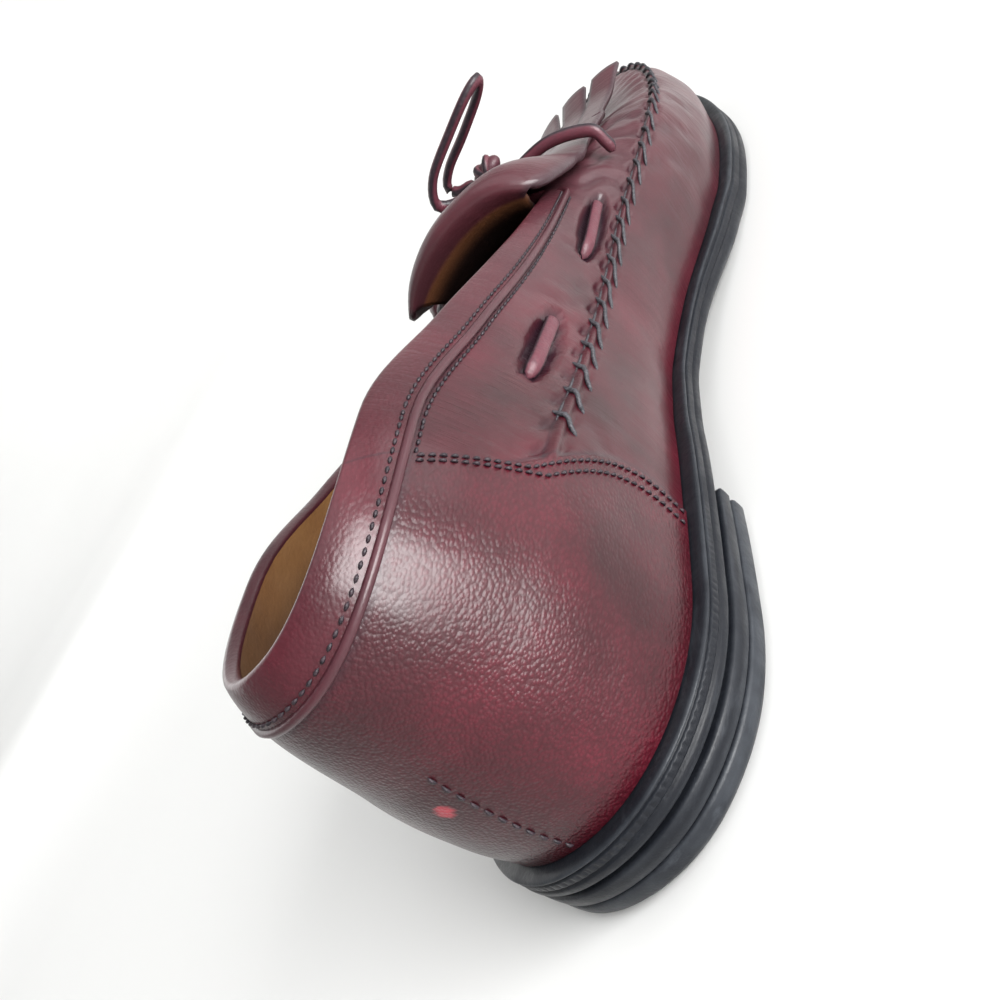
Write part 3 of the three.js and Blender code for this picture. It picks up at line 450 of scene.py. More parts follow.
# Materials
class Look:
    """A node material with short calls for the nodes that these finishes use."""

    def __init__(self, name, rough=0.4, coat=0.0, coat_rough=0.15, specular=0.5, sheen=0.0):
        self.material = bpy.data.materials.new(name)
        self.material.use_nodes = True
        self.tree = self.material.node_tree
        self.shader = self.tree.nodes["Principled BSDF"]
        self.coords = self.tree.nodes.new("ShaderNodeTexCoord")
        for socket, value in (("Roughness", rough), ("Coat Weight", coat), ("Coat Roughness", coat_rough),
                              ("Specular IOR Level", specular), ("Sheen Weight", sheen)):
            self.shader.inputs[socket].default_value = value

    def node(self, kind, **values):
        """A node with values set on its inputs or itself."""
        made = self.tree.nodes.new(kind)
        for key, value in values.items():
            if key in made.inputs:
                made.inputs[key].default_value = value
            else:
                setattr(made, key, value)
        return made

    def link(self, a, b):
        """Joins two sockets."""
        self.tree.links.new(a, b)

    def place(self, scale=(1, 1, 1), turn=(0, 0, 0)):
        """Object coordinates, stretched and turned."""
        mapping = self.node("ShaderNodeMapping")
        mapping.inputs["Scale"].default_value = scale
        mapping.inputs["Rotation"].default_value = turn
        self.link(self.coords.outputs["Object"], mapping.inputs["Vector"])
        return mapping.outputs["Vector"]

    def noise(self, scale, detail=3.0, rough=0.55, stretch=(1, 1, 1), turn=(0, 0, 0)):
        """Soft noise from 0 to 1."""
        made = self.node("ShaderNodeTexNoise", Scale=scale, Detail=detail, Roughness=rough)
        self.link(self.place(stretch, turn), made.inputs["Vector"])
        return made.outputs["Fac"]

    def cells(self, scale, stretch=(1, 1, 1), turn=(0, 0, 0)):
        """Distance in rounded cells, as in pebbled leather."""
        made = self.node("ShaderNodeTexVoronoi", feature="SMOOTH_F1", Scale=scale)
        made.inputs["Smoothness"].default_value = 0.35
        self.link(self.place(stretch, turn), made.inputs["Vector"])
        return made.outputs["Distance"]

    def mark(self, name):
        """A number painted on the mesh."""
        return self.node("ShaderNodeAttribute", attribute_name=name).outputs["Fac"]

    def remap(self, value, low, high, a=0.0, b=1.0):
        """Value between low and high becomes a to b."""
        made = self.node("ShaderNodeMapRange")
        for key, number in (("From Min", low), ("From Max", high), ("To Min", a), ("To Max", b)):
            made.inputs[key].default_value = number
        self.link(value, made.inputs["Value"])
        return made.outputs["Result"]

    def sums(self, operation, a, b):
        """Two numbers joined by a sum."""
        made = self.node("ShaderNodeMath", operation=operation)
        for k, value in enumerate((a, b)):
            if isinstance(value, (int, float)):
                made.inputs[k].default_value = value
            else:
                self.link(value, made.inputs[k])
        return made.outputs[0]

    def colours(self, factor, a, b):
        """Colour a turning into b with factor."""
        made = self.node("ShaderNodeMix", data_type="RGBA")
        for socket, value in ((made.inputs[0], factor), (made.inputs[6], a), (made.inputs[7], b)):
            if isinstance(value, tuple):
                socket.default_value = value + (1,)
            elif isinstance(value, float):
                socket.default_value = value
            else:
                self.link(value, socket)
        return made.outputs[2]

    def bump(self, height, distance, strength=1.0, under=None):
        """Bump of that depth in metres, over another bump."""
        made = self.node("ShaderNodeBump", Distance=distance)
        if isinstance(strength, float):
            made.inputs["Strength"].default_value = strength
        else:
            self.link(strength, made.inputs["Strength"])
        self.link(height, made.inputs["Height"])
        if under is not None:
            self.link(under, made.inputs["Normal"])
        return made.outputs["Normal"]

    def finish(self, colour, normal=None, rough=None):
        """Joins the colour, bump and roughness to the shader."""
        if isinstance(colour, tuple):
            self.shader.inputs["Base Color"].default_value = colour + (1,)
        else:
            self.link(colour, self.shader.inputs["Base Color"])
        if normal is not None:
            self.link(normal, self.shader.inputs["Normal"])
        if rough is not None:
            self.link(rough, self.shader.inputs["Roughness"])
        return self.material


def burgundy_leather(settings):
    """Oxblood leather: pebbled on the counter, smooth and wrinkled toward the toe, greyed by wear and a
    painted sheen, near black with painted shade in slots, stitch holes and creases, tan where it is lined and
    dark with painted shadow where that lining is inside the shoe. Marks: grain, haze, crease, rim, nick,
    lined, deep, wrinkle."""
    look = Look("burgundy_leather", coat=0.3, coat_rough=0.2, specular=0.26)
    base, dark = tuple(settings.leather), tuple(c * 0.28 for c in settings.leather)
    tone = look.colours(look.remap(look.noise(38, 3), 0.32, 0.7), dark, base)
    grain = look.mark("grain")
    pebbles = look.cells(1750, (1, 0.55, 1), (0.5, 0.2, 0.9))
    between_pebbles = look.sums("MULTIPLY", grain, look.remap(pebbles, 0.3, 0.6, 0, 0.4))
    tone = look.colours(between_pebbles, tone, tuple(c * 0.2 for c in settings.leather))
    # Greyed leather: partly wear, partly a painted sheen that grows toward the front and the top of the
    # upper.
    patchy = look.remap(look.noise(55, 3), 0.25, 0.75, 0.65, 1.0)
    haze = look.sums("MULTIPLY", look.mark("haze"), patchy)
    tone = look.colours(haze, tone, tuple(settings.worn))
    # Painted shade: near black in the slots, stitch holes, under the band's step, in the counter seam's
    # gutter and in the creases.
    tone = look.colours(look.mark("crease"), tone, (0.012, 0.006, 0.01))
    tone = look.colours(look.mark("rim"), tone, (0.035, 0.015, 0.02))
    tone = look.colours(look.mark("nick"), tone, (0.32, 0.03, 0.045))
    # The kiltie's tan lining, darkened to near black by painted shadow where the tongue runs inside the shoe.
    tan = look.colours(look.mark("deep"), (0.13, 0.05, 0.022), (0.008, 0.004, 0.004))
    tone = look.colours(look.mark("lined"), tone, tan)
    normal = look.bump(pebbles, -0.00014, grain)
    normal = look.bump(look.noise(520, 3, 0.6, (1, 0.4, 1), (0.4, 0, 0.3)), 0.00016, 0.5, normal)
    wrinkle = look.noise(170, 4, 0.62, (0.35, 2.2, 0.35), (0.3, 0, 0.2))
    normal = look.bump(wrinkle, 0.0009, look.mark("wrinkle"), normal)
    rough = look.sums("ADD", look.remap(look.noise(90, 2), 0.3, 0.7, 0.3, 0.4),
                      look.sums("MULTIPLY", look.mark("haze"), 0.14))
    return look.finish(tone, normal, rough)


def lace_leather():
    """Thin lace: burgundy faces with dark raw edges. Mark: edge."""
    look = Look("lace_leather", coat=0.1, specular=0.35)
    edge = look.remap(look.mark("edge"), 0.35, 0.75)
    tone = look.colours(edge, (0.085, 0.02, 0.03), (0.01, 0.005, 0.009))
    tone = look.colours(look.remap(look.noise(900, 3), 0.45, 0.75, 0, 0.5), tone, (0.05, 0.02, 0.028))
    rough = look.remap(look.noise(300, 2), 0.3, 0.7, 0.35, 0.55)
    return look.finish(tone, look.bump(look.noise(1400, 3), 0.00015, 0.8), rough)


def thread(name, light, dark):
    """Waxed thread with a twist that shows as fine marks."""
    look = Look(name, specular=0.4)
    tone = look.colours(look.remap(look.noise(1600, 2, 0.5, (1, 3, 1)), 0.38, 0.62), dark, light)
    rough = look.remap(look.noise(800, 2), 0.3, 0.7, 0.4, 0.7)
    return look.finish(tone, look.bump(look.noise(2600, 2), 0.00012, 0.8), rough)


def black_edge(settings, name="black_sole", grey=0.5):
    """Dressed black edge with fine scratches and grey rims, partly worn and partly a painted highlight along
    the edge.
    """
    look = Look(name, specular=0.22, coat=0.04, coat_rough=0.3)
    scratch = look.remap(look.noise(240, 4, 0.7, (1, 0.18, 1.6), (0.2, 0.1, 0.1)), 0.56, 0.74)
    deep = (0.006, 0.007, 0.01)
    tone = look.colours(look.remap(look.noise(60, 4), 0.35, 0.7), deep, tuple(settings.edge))
    tone = look.colours(look.sums("MULTIPLY", scratch, grey), tone, (0.035, 0.039, 0.046))
    # Grey rims: wear, and a painted highlight along the top rim of the edge.
    wear_and_highlight = look.sums("MULTIPLY", look.mark("rub"), look.remap(look.noise(160, 5), 0.3, 0.65, 0.25, 1))
    tone = look.colours(wear_and_highlight, tone, (0.045, 0.05, 0.058))
    normal = look.bump(look.noise(700, 4, 0.65), 0.0002, 0.6)
    return look.finish(tone, normal, look.remap(look.noise(120, 4), 0.3, 0.7, 0.3, 0.55))


def tan_lining():
    """Lining leather, tan near the top and darkened by painted shade below, where it lies deep inside the
    shoe.
    """
    look = Look("tan_lining", specular=0.25)
    tone = look.colours(look.remap(look.noise(45, 4), 0.3, 0.7), (0.25, 0.11, 0.035), (0.34, 0.17, 0.06))
    # Painted shade inside the shoe.
    tone = look.colours(look.mark("worn"), tone, (0.03, 0.016, 0.014))
    rough = look.remap(look.noise(200, 2), 0.3, 0.7, 0.6, 0.85)
    return look.finish(tone, look.bump(look.noise(900, 4), 0.0002, 0.6), rough)


def plain_floor():
    """Pale plain floor."""
    look = Look("pale_floor", specular=0.2, rough=0.6)
    return look.finish(look.colours(look.noise(3, 2), (0.76, 0.76, 0.75), (0.8, 0.8, 0.79)))


LOOKS = {}


def sizes():
    """The sizes and colours of the sidebar."""
    return bpy.context.scene.loafer_sizes


def looks():
    """The finishes, made once."""
    if not LOOKS:
        s = sizes()
        LOOKS.update(leather=burgundy_leather(s), lace=lace_leather(), sole=black_edge(s),
                     lift=black_edge(s, "black_rubber", 0.9), lining=tan_lining(),
                     whip=thread("whip_thread", (0.055, 0.052, 0.06), (0.008, 0.008, 0.011)),
                     stitch=thread("dark_stitch", (0.03, 0.018, 0.024), (0.006, 0.004, 0.007)),
                     floor=plain_floor())
    return LOOKS


# Marks and relief of the upper
SEAM_STATION, THROAT_STATION = station_at(COUNTER_SEAM), station_at(THROAT)
COUNTER_STITCH, BACK_STITCH = 1.8, 2.4
SLOT_ROW, SLOT_LENGTH, RIM_RISE = 2.34, 24.0, 0.9
SLOTS = {"rear": 0.27, "front": 0.455}
NICK = (0.07, 1.8)


def seam_run(station):
    """Running number of whip stitches at a station of the apron seam."""
    s = np.linspace(1.0, 3, 200)
    run = lengths(skin(INNER, s, np.full(s.shape, 2.0)))
    return np.interp(station, s, run / run[-1]) * sizes().apron_stitches


# Creases, one by one: station and row of both ends, half width and depth in millimetres
CREASES = [
    (1.30, 2.62, 1.36, 2.12, 1.5, 0.5), (1.34, 2.6, 1.40, 2.1, 1.2, 0.4),
    (1.19, 2.55, 1.26, 2.1, 1.3, 0.45), (1.15, 2.45, 1.22, 2.05, 1.2, 0.4),
    (1.23, 2.6, 1.30, 2.2, 1.0, 0.35), (1.44, 2.65, 1.5, 2.1, 1.3, 0.45),
    (1.62, 2.9, 1.66, 2.1, 1.8, 0.5), (1.68, 2.9, 1.72, 2.1, 1.6, 0.5),
    (1.74, 2.95, 1.78, 2.08, 2.0, 0.7), (1.81, 3.0, 1.84, 2.08, 2.0, 0.75),
    (1.88, 3.1, 1.9, 2.06, 1.8, 0.6), (1.7, 1.9, 1.78, 1.2, 2.0, 0.45),
    (1.8, 1.9, 1.86, 1.1, 2.2, 0.5), (1.9, 1.92, 1.95, 1.15, 2.0, 0.45),
    (1.12, 1.95, 1.1, 1.2, 2.4, 0.25),
]


def crease_depth(side, points):
    """Sum of soft troughs, each a bell across a bent line between its ends, with low banks."""
    depth = np.zeros(points.shape[:-1])
    for s0, r0, s1, r1, width, deep in CREASES:
        ends = skin(side, np.array([s0, s1]), np.array([r0, r1]))
        line = ends[1] - ends[0]
        t = np.clip(((points - ends[0]) @ line) / (line @ line), 0, 1)
        gap = points - (ends[0] + t[..., None] * line)
        gap[..., 1] += 1.6 * np.sin(3 * math.pi * t + s0 * 7)
        away = np.linalg.norm(gap, axis=-1)
        fade = np.sin(math.pi * np.clip(t, 0.02, 0.98)) ** 0.5
        depth += deep * fade * (bell(away, 0, width) - 0.35 * bell(away, 2.2 * width, width))
    return depth


def slot_depth(side, points):
    """Troughs of the two lace slots of a side, and how much painted shade they get."""
    deep = np.zeros(points.shape[:-1])
    for at in SLOTS.values():
        half = SLOT_LENGTH / SOLE_LENGTH / 2 * 1.12
        ends = skin(side, station_at(at + half * np.array([-1, 1])), SLOT_ROW + 0.02 * np.array([-1, 1]))
        line = ends[1] - ends[0]
        t = np.clip(((points - ends[0]) @ line) / (line @ line), 0, 1)
        away = np.linalg.norm(points - (ends[0] + t[..., None] * line), axis=-1)
        width = 1.0 + 2.1 * np.sin(math.pi * t) ** 0.6
        deep = np.maximum(deep, 1 - smooth(width - 0.5, width + 0.7, away))
    return deep


def upper_relief(side, station, row, base):
    """Lift of the leather over the last, and its marks: steps of the counter and band, the apron ridge with
    its pleats and stitch holes, slots and creases.
    It also gives painted shade, dark in the slots, stitch holes, under the band's step, in the counter seam's
    gutter and in the creases."""
    behind = 1 - smooth(SEAM_STATION - 0.003, SEAM_STATION + 0.003, station)
    before_throat = station < THROAT_STATION + 1e-6
    band = smooth(BAND_START - 0.012, BAND_START + 0.012, row) * np.where(before_throat, 1, 0)
    lift = np.maximum(COUNTER_STEP * behind, BAND_STEP * band)
    apron = 1 - behind
    ridge = bell(row, 2, 0.045) * SEAM_RISE
    phase = 2 * math.pi * seam_run(station)
    fore = smooth(1.35, 2.3, station)
    hole = (0.5 + 0.5 * np.cos(phase)) ** 3
    puff = -0.75 * hole * bell(row, 2.1, 0.05) + 0.28 * (1 - hole) * bell(row, 2.13, 0.07)
    pleats = 0.34 * fore * np.cos(phase + 5 * (row - 2)) * bell(row, 2.28, 0.26)
    folds = 0.3 * smooth(1.7, 2.5, station) * np.cos(phase * 0.5 - 6 * (2 - row)) * bell(row, 1.7, 0.3)
    dent = -0.5 * hole * bell(row, 1.9, 0.04)
    lift = lift + apron * (ridge + puff + pleats + folds + dent)
    slot = slot_depth(side, base) * apron
    crease = crease_depth(side, base) * apron
    lift = lift - 1.7 * slot - crease
    # Painted shade: dark under the band's step, in the counter seam's gutter, in the stitch holes, the slots
    # and the creases.
    near_band = bell(row, BAND_START - 0.03, 0.02) * np.where(before_throat, 1, 0)
    gutter = bell(station, SEAM_STATION + 0.006, 0.004)
    stitched = hole * bell(row, 2.1, 0.05) + bell(row, 2.055, 0.012)
    dark = 0.9 * slot + 0.5 * apron * stitched + 0.5 * near_band + 0.55 * gutter
    return lift, np.clip(dark + np.clip(crease, 0, 1) * 0.35, 0, 0.95), behind


def station_grid(heel, side, toe, clusters=()):
    """Stations from the back of the heel to the toe, closer together at the named ones."""
    lists = [np.linspace(0, 1, heel), np.linspace(1, 2, side), np.linspace(2, 3, toe)]
    lists += [np.linspace(c - w, c + w, n) for c, w, n in clusters]
    return np.unique(np.round(np.concatenate(lists), 6))


class LOAFER_OT_upper(bpy.types.Operator):
    """Builds the leather upper, its lining, collar piping and stitches"""

    bl_idname = "loafer.upper"
    bl_label = "Upper"

    def execute(self, context):
        """The skin is a grid of stations and rows; its relief is added along the normals."""
        stations = station_grid(64, 150, 84, [(SEAM_STATION, 0.014, 11), (THROAT_STATION, 0.004, 3)])
        rows = np.unique(np.round(np.concatenate([
            np.linspace(0, 3, 72), np.linspace(3, 4, 26), 2 + np.linspace(-0.12, 0.14, 20),
            BAND_START + np.linspace(-0.04, 0.03, 12)]), 5))
        collar = int(np.argmin(abs(rows - 3)))
        first = int(np.argmin(abs(stations - THROAT_STATION)))
        shell = Parts()
        for side in (INNER, OUTER):
            s, r = np.meshgrid(stations, rows, indexing="ij")
            s2 = leaned(s, r)
            base = skin(side, s2, r)
            lift, dark, behind = upper_relief(side, s, r, base)
            points = skin(side, s2, r, lift)
            quads = grid_faces(len(stations), len(rows), flip=side == INNER)
            quads = quads[self.leather_there(quads, len(rows), collar, first)]
            # Painted sheen with wear: greyer toward the front and the top rows, where the sheen of the light
            # falls, and less low on the side.
            haze = smooth(1.15, 1.9, s) * (0.35 + 0.45 * smooth(1.5, 2.6, r)) + 0.2 * smooth(2.2, 3, r)
            haze = np.clip(haze, 0, 0.8)
            haze *= 1 - 0.55 * bell(r, 0.7, 0.45) * (1 - smooth(2.3, 2.9, s))
            grain = np.clip(behind + 0.16 + 0.25 * smooth(2.7, 2.8, r) * (s < THROAT_STATION), 0, 1)
            grain = np.where((r > 2.76) & (s < THROAT_STATION), 0.5, grain)
            wrinkle = 0.3 + 0.6 * bell(s, 1.22, 0.1) * bell(r, 2.4, 0.3) + 0.2 * smooth(1.6, 2.2, s)
            wrinkle = wrinkle * (1 - behind)
            nick = np.zeros(s.shape)
            if side == OUTER:
                centre = skin(OUTER, NICK[0], NICK[1])
                away = np.linalg.norm(points - centre, axis=-1)
                ragged = 1.1 + 0.7 * np.sin(r * 90) * np.cos(s * 130)
                nick = 1 - smooth(ragged, ragged + 0.5, away)
            # The crease mark carries painted shade.
            shell.add(points, quads, grain=grain, haze=haze, crease=dark, wrinkle=wrinkle, nick=nick)
            self.rim(shell, side, stations[: first + 1], rows[collar:])
        shell.piece("upper_leather", [looks()["leather"]], "burgundy_leather", ["upper"], merge=2e-6)
        self.lining()
        self.trim()
        return {"FINISHED"}

    def leather_there(self, quads, rows, collar, first):
        """Which faces are leather: all below the collar row, and all in front of the throat."""
        return ~((quads % rows >= collar).sum(1) > 2) | ((quads // rows).min(1) >= first)

    def rim(self, shell, side, along, up):
        """Rounded top edge: a half ellipse from the outer face over to the inner face."""
        a = np.linspace(0, math.pi, 9)
        edge = np.concatenate([along, np.full(len(up) - 1, THROAT_STATION)])
        rows = np.concatenate([np.full(len(along), 3.0), up[1:]])
        s2 = leaned(edge, rows)
        outer = skin(side, s2, rows, BAND_STEP)
        inner = skin(side, s2, rows, -WALL)
        below = skin(side, s2, np.maximum(rows - 0.05, 2.9), 0)
        at_collar = skin(side, s2, rows, 0)
        back = skin(side, s2 + 0.01, rows, 0)
        turn = np.arange(len(edge)) >= len(along) - 1
        rise = unit(np.where(turn[:, None], at_collar - back, at_collar - below))
        mid, half = (outer + inner) / 2, (outer - inner) / 2
        around = half[:, None] * np.cos(a)[:, None] + rise[:, None] * np.sin(a)[:, None] * RIM_RISE
        ring = mid[:, None] + around
        tail = skin(side, s2, np.where(turn, rows, rows - 0.12), -WALL)[:, None]
        tail = np.where(turn[:, None, None], inner[:, None] - rise[:, None] * 3, tail)
        ring = np.concatenate([ring, tail], axis=1)
        shell.add(ring, grid_faces(len(edge), 10, flip=side == INNER), grain=0.3, haze=0.3, wrinkle=0.1)

    def lining(self):
        """Inner face of the wall, tan at the top and dark below with painted shade."""
        stations = station_grid(28, 70, 36)
        rows = np.unique(np.concatenate([np.linspace(0, 3, 40), np.linspace(3, 4, 14)]))
        collar = int(np.argmin(abs(rows - 3)))
        first = int(np.argmin(abs(stations - THROAT_STATION)))
        parts = Parts()
        for side in (INNER, OUTER):
            s, r = np.meshgrid(stations, rows, indexing="ij")
            points = skin(side, leaned(s, r), np.where(r < 3, r * 0.985, r), -WALL - 0.05)
            quads = grid_faces(len(stations), len(rows), flip=side == OUTER)
            quads = quads[self.leather_there(quads, len(rows), collar, first)]
            # Painted shade: darker low down, at the heel and under the vamp, deep inside the shoe.
            worn = 1 - smooth(2.0, 2.9, r) + 0.7 * (1 - smooth(1.1, 1.45, s)) + 0.8 * (r > 3.02)
            parts.add(points, quads, worn=np.clip(worn, 0, 0.96))
        parts.piece("upper_lining", [looks()["lining"]], "tan_lining", merge=2e-6)

    def trim(self):
        """Piping and stitch rows of the collar, counter and back, whip stitches of the apron."""
        ring = station_grid(40, 60, 2)
        ring = ring[ring <= THROAT_STATION]
        end = np.linspace(0.15, 2.3, 12)
        bend = np.concatenate([ring * 0, 0.011 * np.sin(end)])
        climb = np.concatenate([ring * 0, 0.09 * (1 - np.cos(end))])
        reach = np.concatenate([ring, np.full(12, ring[-1])]) + bend
        piping = Parts()
        both = []
        for side in (INNER, OUTER):
            s, r = (reach, climb) if side == OUTER else (reach[::-1], climb[::-1])
            both.append(skin(side, leaned(s, BAND_START - 0.012), BAND_START - 0.012 + r, 0.75))
        line = resample(np.concatenate([both[0], both[1][1:]]), 260)
        add_tubes(piping, line[None], 0.85, (0, 0, 1), 8, 1.0, grain=0.2, haze=0.45, rim=0.25)
        piping.piece("collar_piping", [looks()["leather"]], "burgundy_leather")
        rows = Parts()
        for side in (INNER, OUTER):
            for row, lift in ((BAND_START - 0.062, 0.15), (BAND_START + 0.045, BAND_STEP + 0.1)):
                self.stitches(rows, side, ring, np.full(ring.shape, row), lift, sizes().collar_stitch * 1000)
            up = np.linspace(0.05, BAND_START - 0.06, 80)
            for shift in (-0.012, -0.03):
                seam = np.full(up.shape, SEAM_STATION + shift)
                self.stitches(rows, side, seam, up, COUNTER_STEP + 0.1, COUNTER_STITCH)
        up = np.linspace(0.08, 2.1, 80)
        self.stitches(rows, INNER, np.full(up.shape, 0.014), up, COUNTER_STEP + 0.05, BACK_STITCH)
        rows.piece("seam_stitches", [looks()["stitch"]], "lace_leather")
        whip = Parts()
        for side in (INNER, OUTER):
            self.whips(whip, side)
        whip.piece("apron_stitches", [looks()["whip"]], "lace_leather")

    def stitches(self, parts, side, s, r, lift, pitch):
        """Short threads laid end to end along a line of stations and rows."""
        s2 = leaned(s, r)
        run = lengths(skin(side, s2, r))
        count = int(run[-1] / pitch)
        start = (np.arange(count) + 0.1) * run[-1] / count
        t = start[:, None] + np.linspace(0, 0.78, 5)[None] * run[-1] / count
        hump = np.sin(np.linspace(0, math.pi, 5)) * 0.35 - 0.15
        ss, rr = np.interp(t, run, s2), np.interp(t, run, r)
        paths = skin(side, ss, rr, lift + hump[None])
        add_tubes(parts, paths, 0.33, last_normal(side, ss, rr), 6)

    def whips(self, parts, side):
        """Waxed threads wrapped over the apron ridge, slanting back on the wall side, with a
        short thread along the seam between each two."""
        index = np.arange(1, sizes().apron_stitches)
        s_dense = np.linspace(1.0, 3, 400)
        run = seam_run(s_dense)
        middle = np.interp(index, run, s_dense)
        middle = middle[middle > SEAM_STATION + 0.02]
        reach = mix(1.0, 0.45, smooth(1.5, 2.6, middle))
        t = np.linspace(0, 1, 9)
        r = 2 + reach[:, None] * mix(0.12, -0.17, t)[None]
        pitch = np.gradient(middle)
        s = middle[:, None] - (0.62 * pitch * reach)[:, None] * (t[None] * 2 - 1)
        lift = SEAM_RISE * bell(r, 2, 0.05) + 0.75 * np.sin(math.pi * t)[None] ** 0.5 - 0.35
        paths = skin(side, leaned(s, r), np.clip(r, 0, 4), lift)
        add_tubes(parts, paths, 0.5, last_normal(side, s, r), 7)
        s = middle[:-1, None] + (middle[1:] - middle[:-1])[:, None] * np.linspace(0.1, 0.95, 6)[None]
        r = 2.05 + 0 * s
        add_tubes(parts, skin(side, leaned(s, r), r, SEAM_RISE * 0.3), 0.3, last_normal(side, s, r), 6)


# Sole
def sole_thickness(y):
    """Thickness of the outsole from the waist to the forefoot."""
    return mix(WAIST_SOLE, FOREFOOT - GAP, smooth(0.45, 0.62, y / SOLE_LENGTH))


def sole_top(p):
    """The outsole's upper face: a gap below the upper's bottom edge."""
    return bottom_height(p[..., 1]) - GAP


def sole_low(p):
    """The outsole's tread: one thickness below its upper face."""
    return sole_top(p) - sole_thickness(p[..., 1])


def heel_top(p):
    """The heel block's upper face: a gap below the tread."""
    return sole_low(p) - GAP


def level(height):
    """A flat face at one height."""
    return lambda p: np.full(p.shape[:-1], height)


def raised(height):
    """A face that follows the upper's bottom edge at a height above it."""
    return lambda p: bottom_height(p[..., 1]) + height


def between(top, low, share):
    """A face at a share of the way down from one face to another."""
    return lambda p: mix(top(p), low(p), share)


def full_ring(stations, offset, z_of, columns=9):
    """Closed ring of plan points: up the inner side, straight across to the outer side in equal
    steps, and back down the outer side."""
    inner = plan_point(INNER, stations, offset)
    outer = plan_point(OUTER, stations[::-1], offset)
    t = np.linspace(0, 1, columns)[1:-1, None]
    ring = np.concatenate([inner, mix(inner[-1], outer[0], t), outer[:-1]])
    ring[:, 2] = z_of(ring)
    return ring


def fill_ring(stations, offset, z_of, columns=9):
    """Grid that closes a ring from its inner to its outer side."""
    a, b = plan_point(INNER, stations, offset), plan_point(OUTER, stations, offset)
    t = np.linspace(0, 1, columns)[None, :, None]
    grid = a[:, None] * (1 - t) + b[:, None] * t
    grid[..., 2] = z_of(grid)
    return grid


# Profiles of the edges: share of the height from the top down, and offset out of the plan
SOLE_PROFILE = np.array([
    (0, -1.6), (0.02, -0.6), (0.06, -0.15), (0.1, 0.02), (0.13, -0.05), (0.15, -0.5), (0.19, -0.75),
    (0.23, -0.5), (0.25, -0.1), (0.28, -0.05), (0.36, -0.02), (0.44, -0.05), (0.47, -0.1),
    (0.5, -0.42), (0.53, -0.42), (0.56, -0.06), (0.64, 0.03), (0.74, 0), (0.83, -0.25),
    (0.9, -0.7), (0.96, -1.3), (1, -2.2)])
HEEL_PROFILE = np.array([
    (0, -1.1), (0.04, -0.5), (0.12, -0.25), (0.5, -0.35), (0.86, -0.6), (0.95, -0.85), (1, -1.3)])
TOP_LIFT_PROFILE = np.array([
    (0, -1.4), (0.05, -0.9), (0.15, -0.7), (0.4, -0.8), (0.62, -1.0), (0.74, -1.35), (0.88, -2.0),
    (1, -3.0)])
TICK_PITCH, TICK_DEPTH, TICK_BAND, TICK_END = 1.7, 0.3, 0.36, 52.0
SOCK_INSET, SOCK_COLUMNS, SOCK_DISH, SOCK_RIM = 1.4, 17, 0.64, 0.5


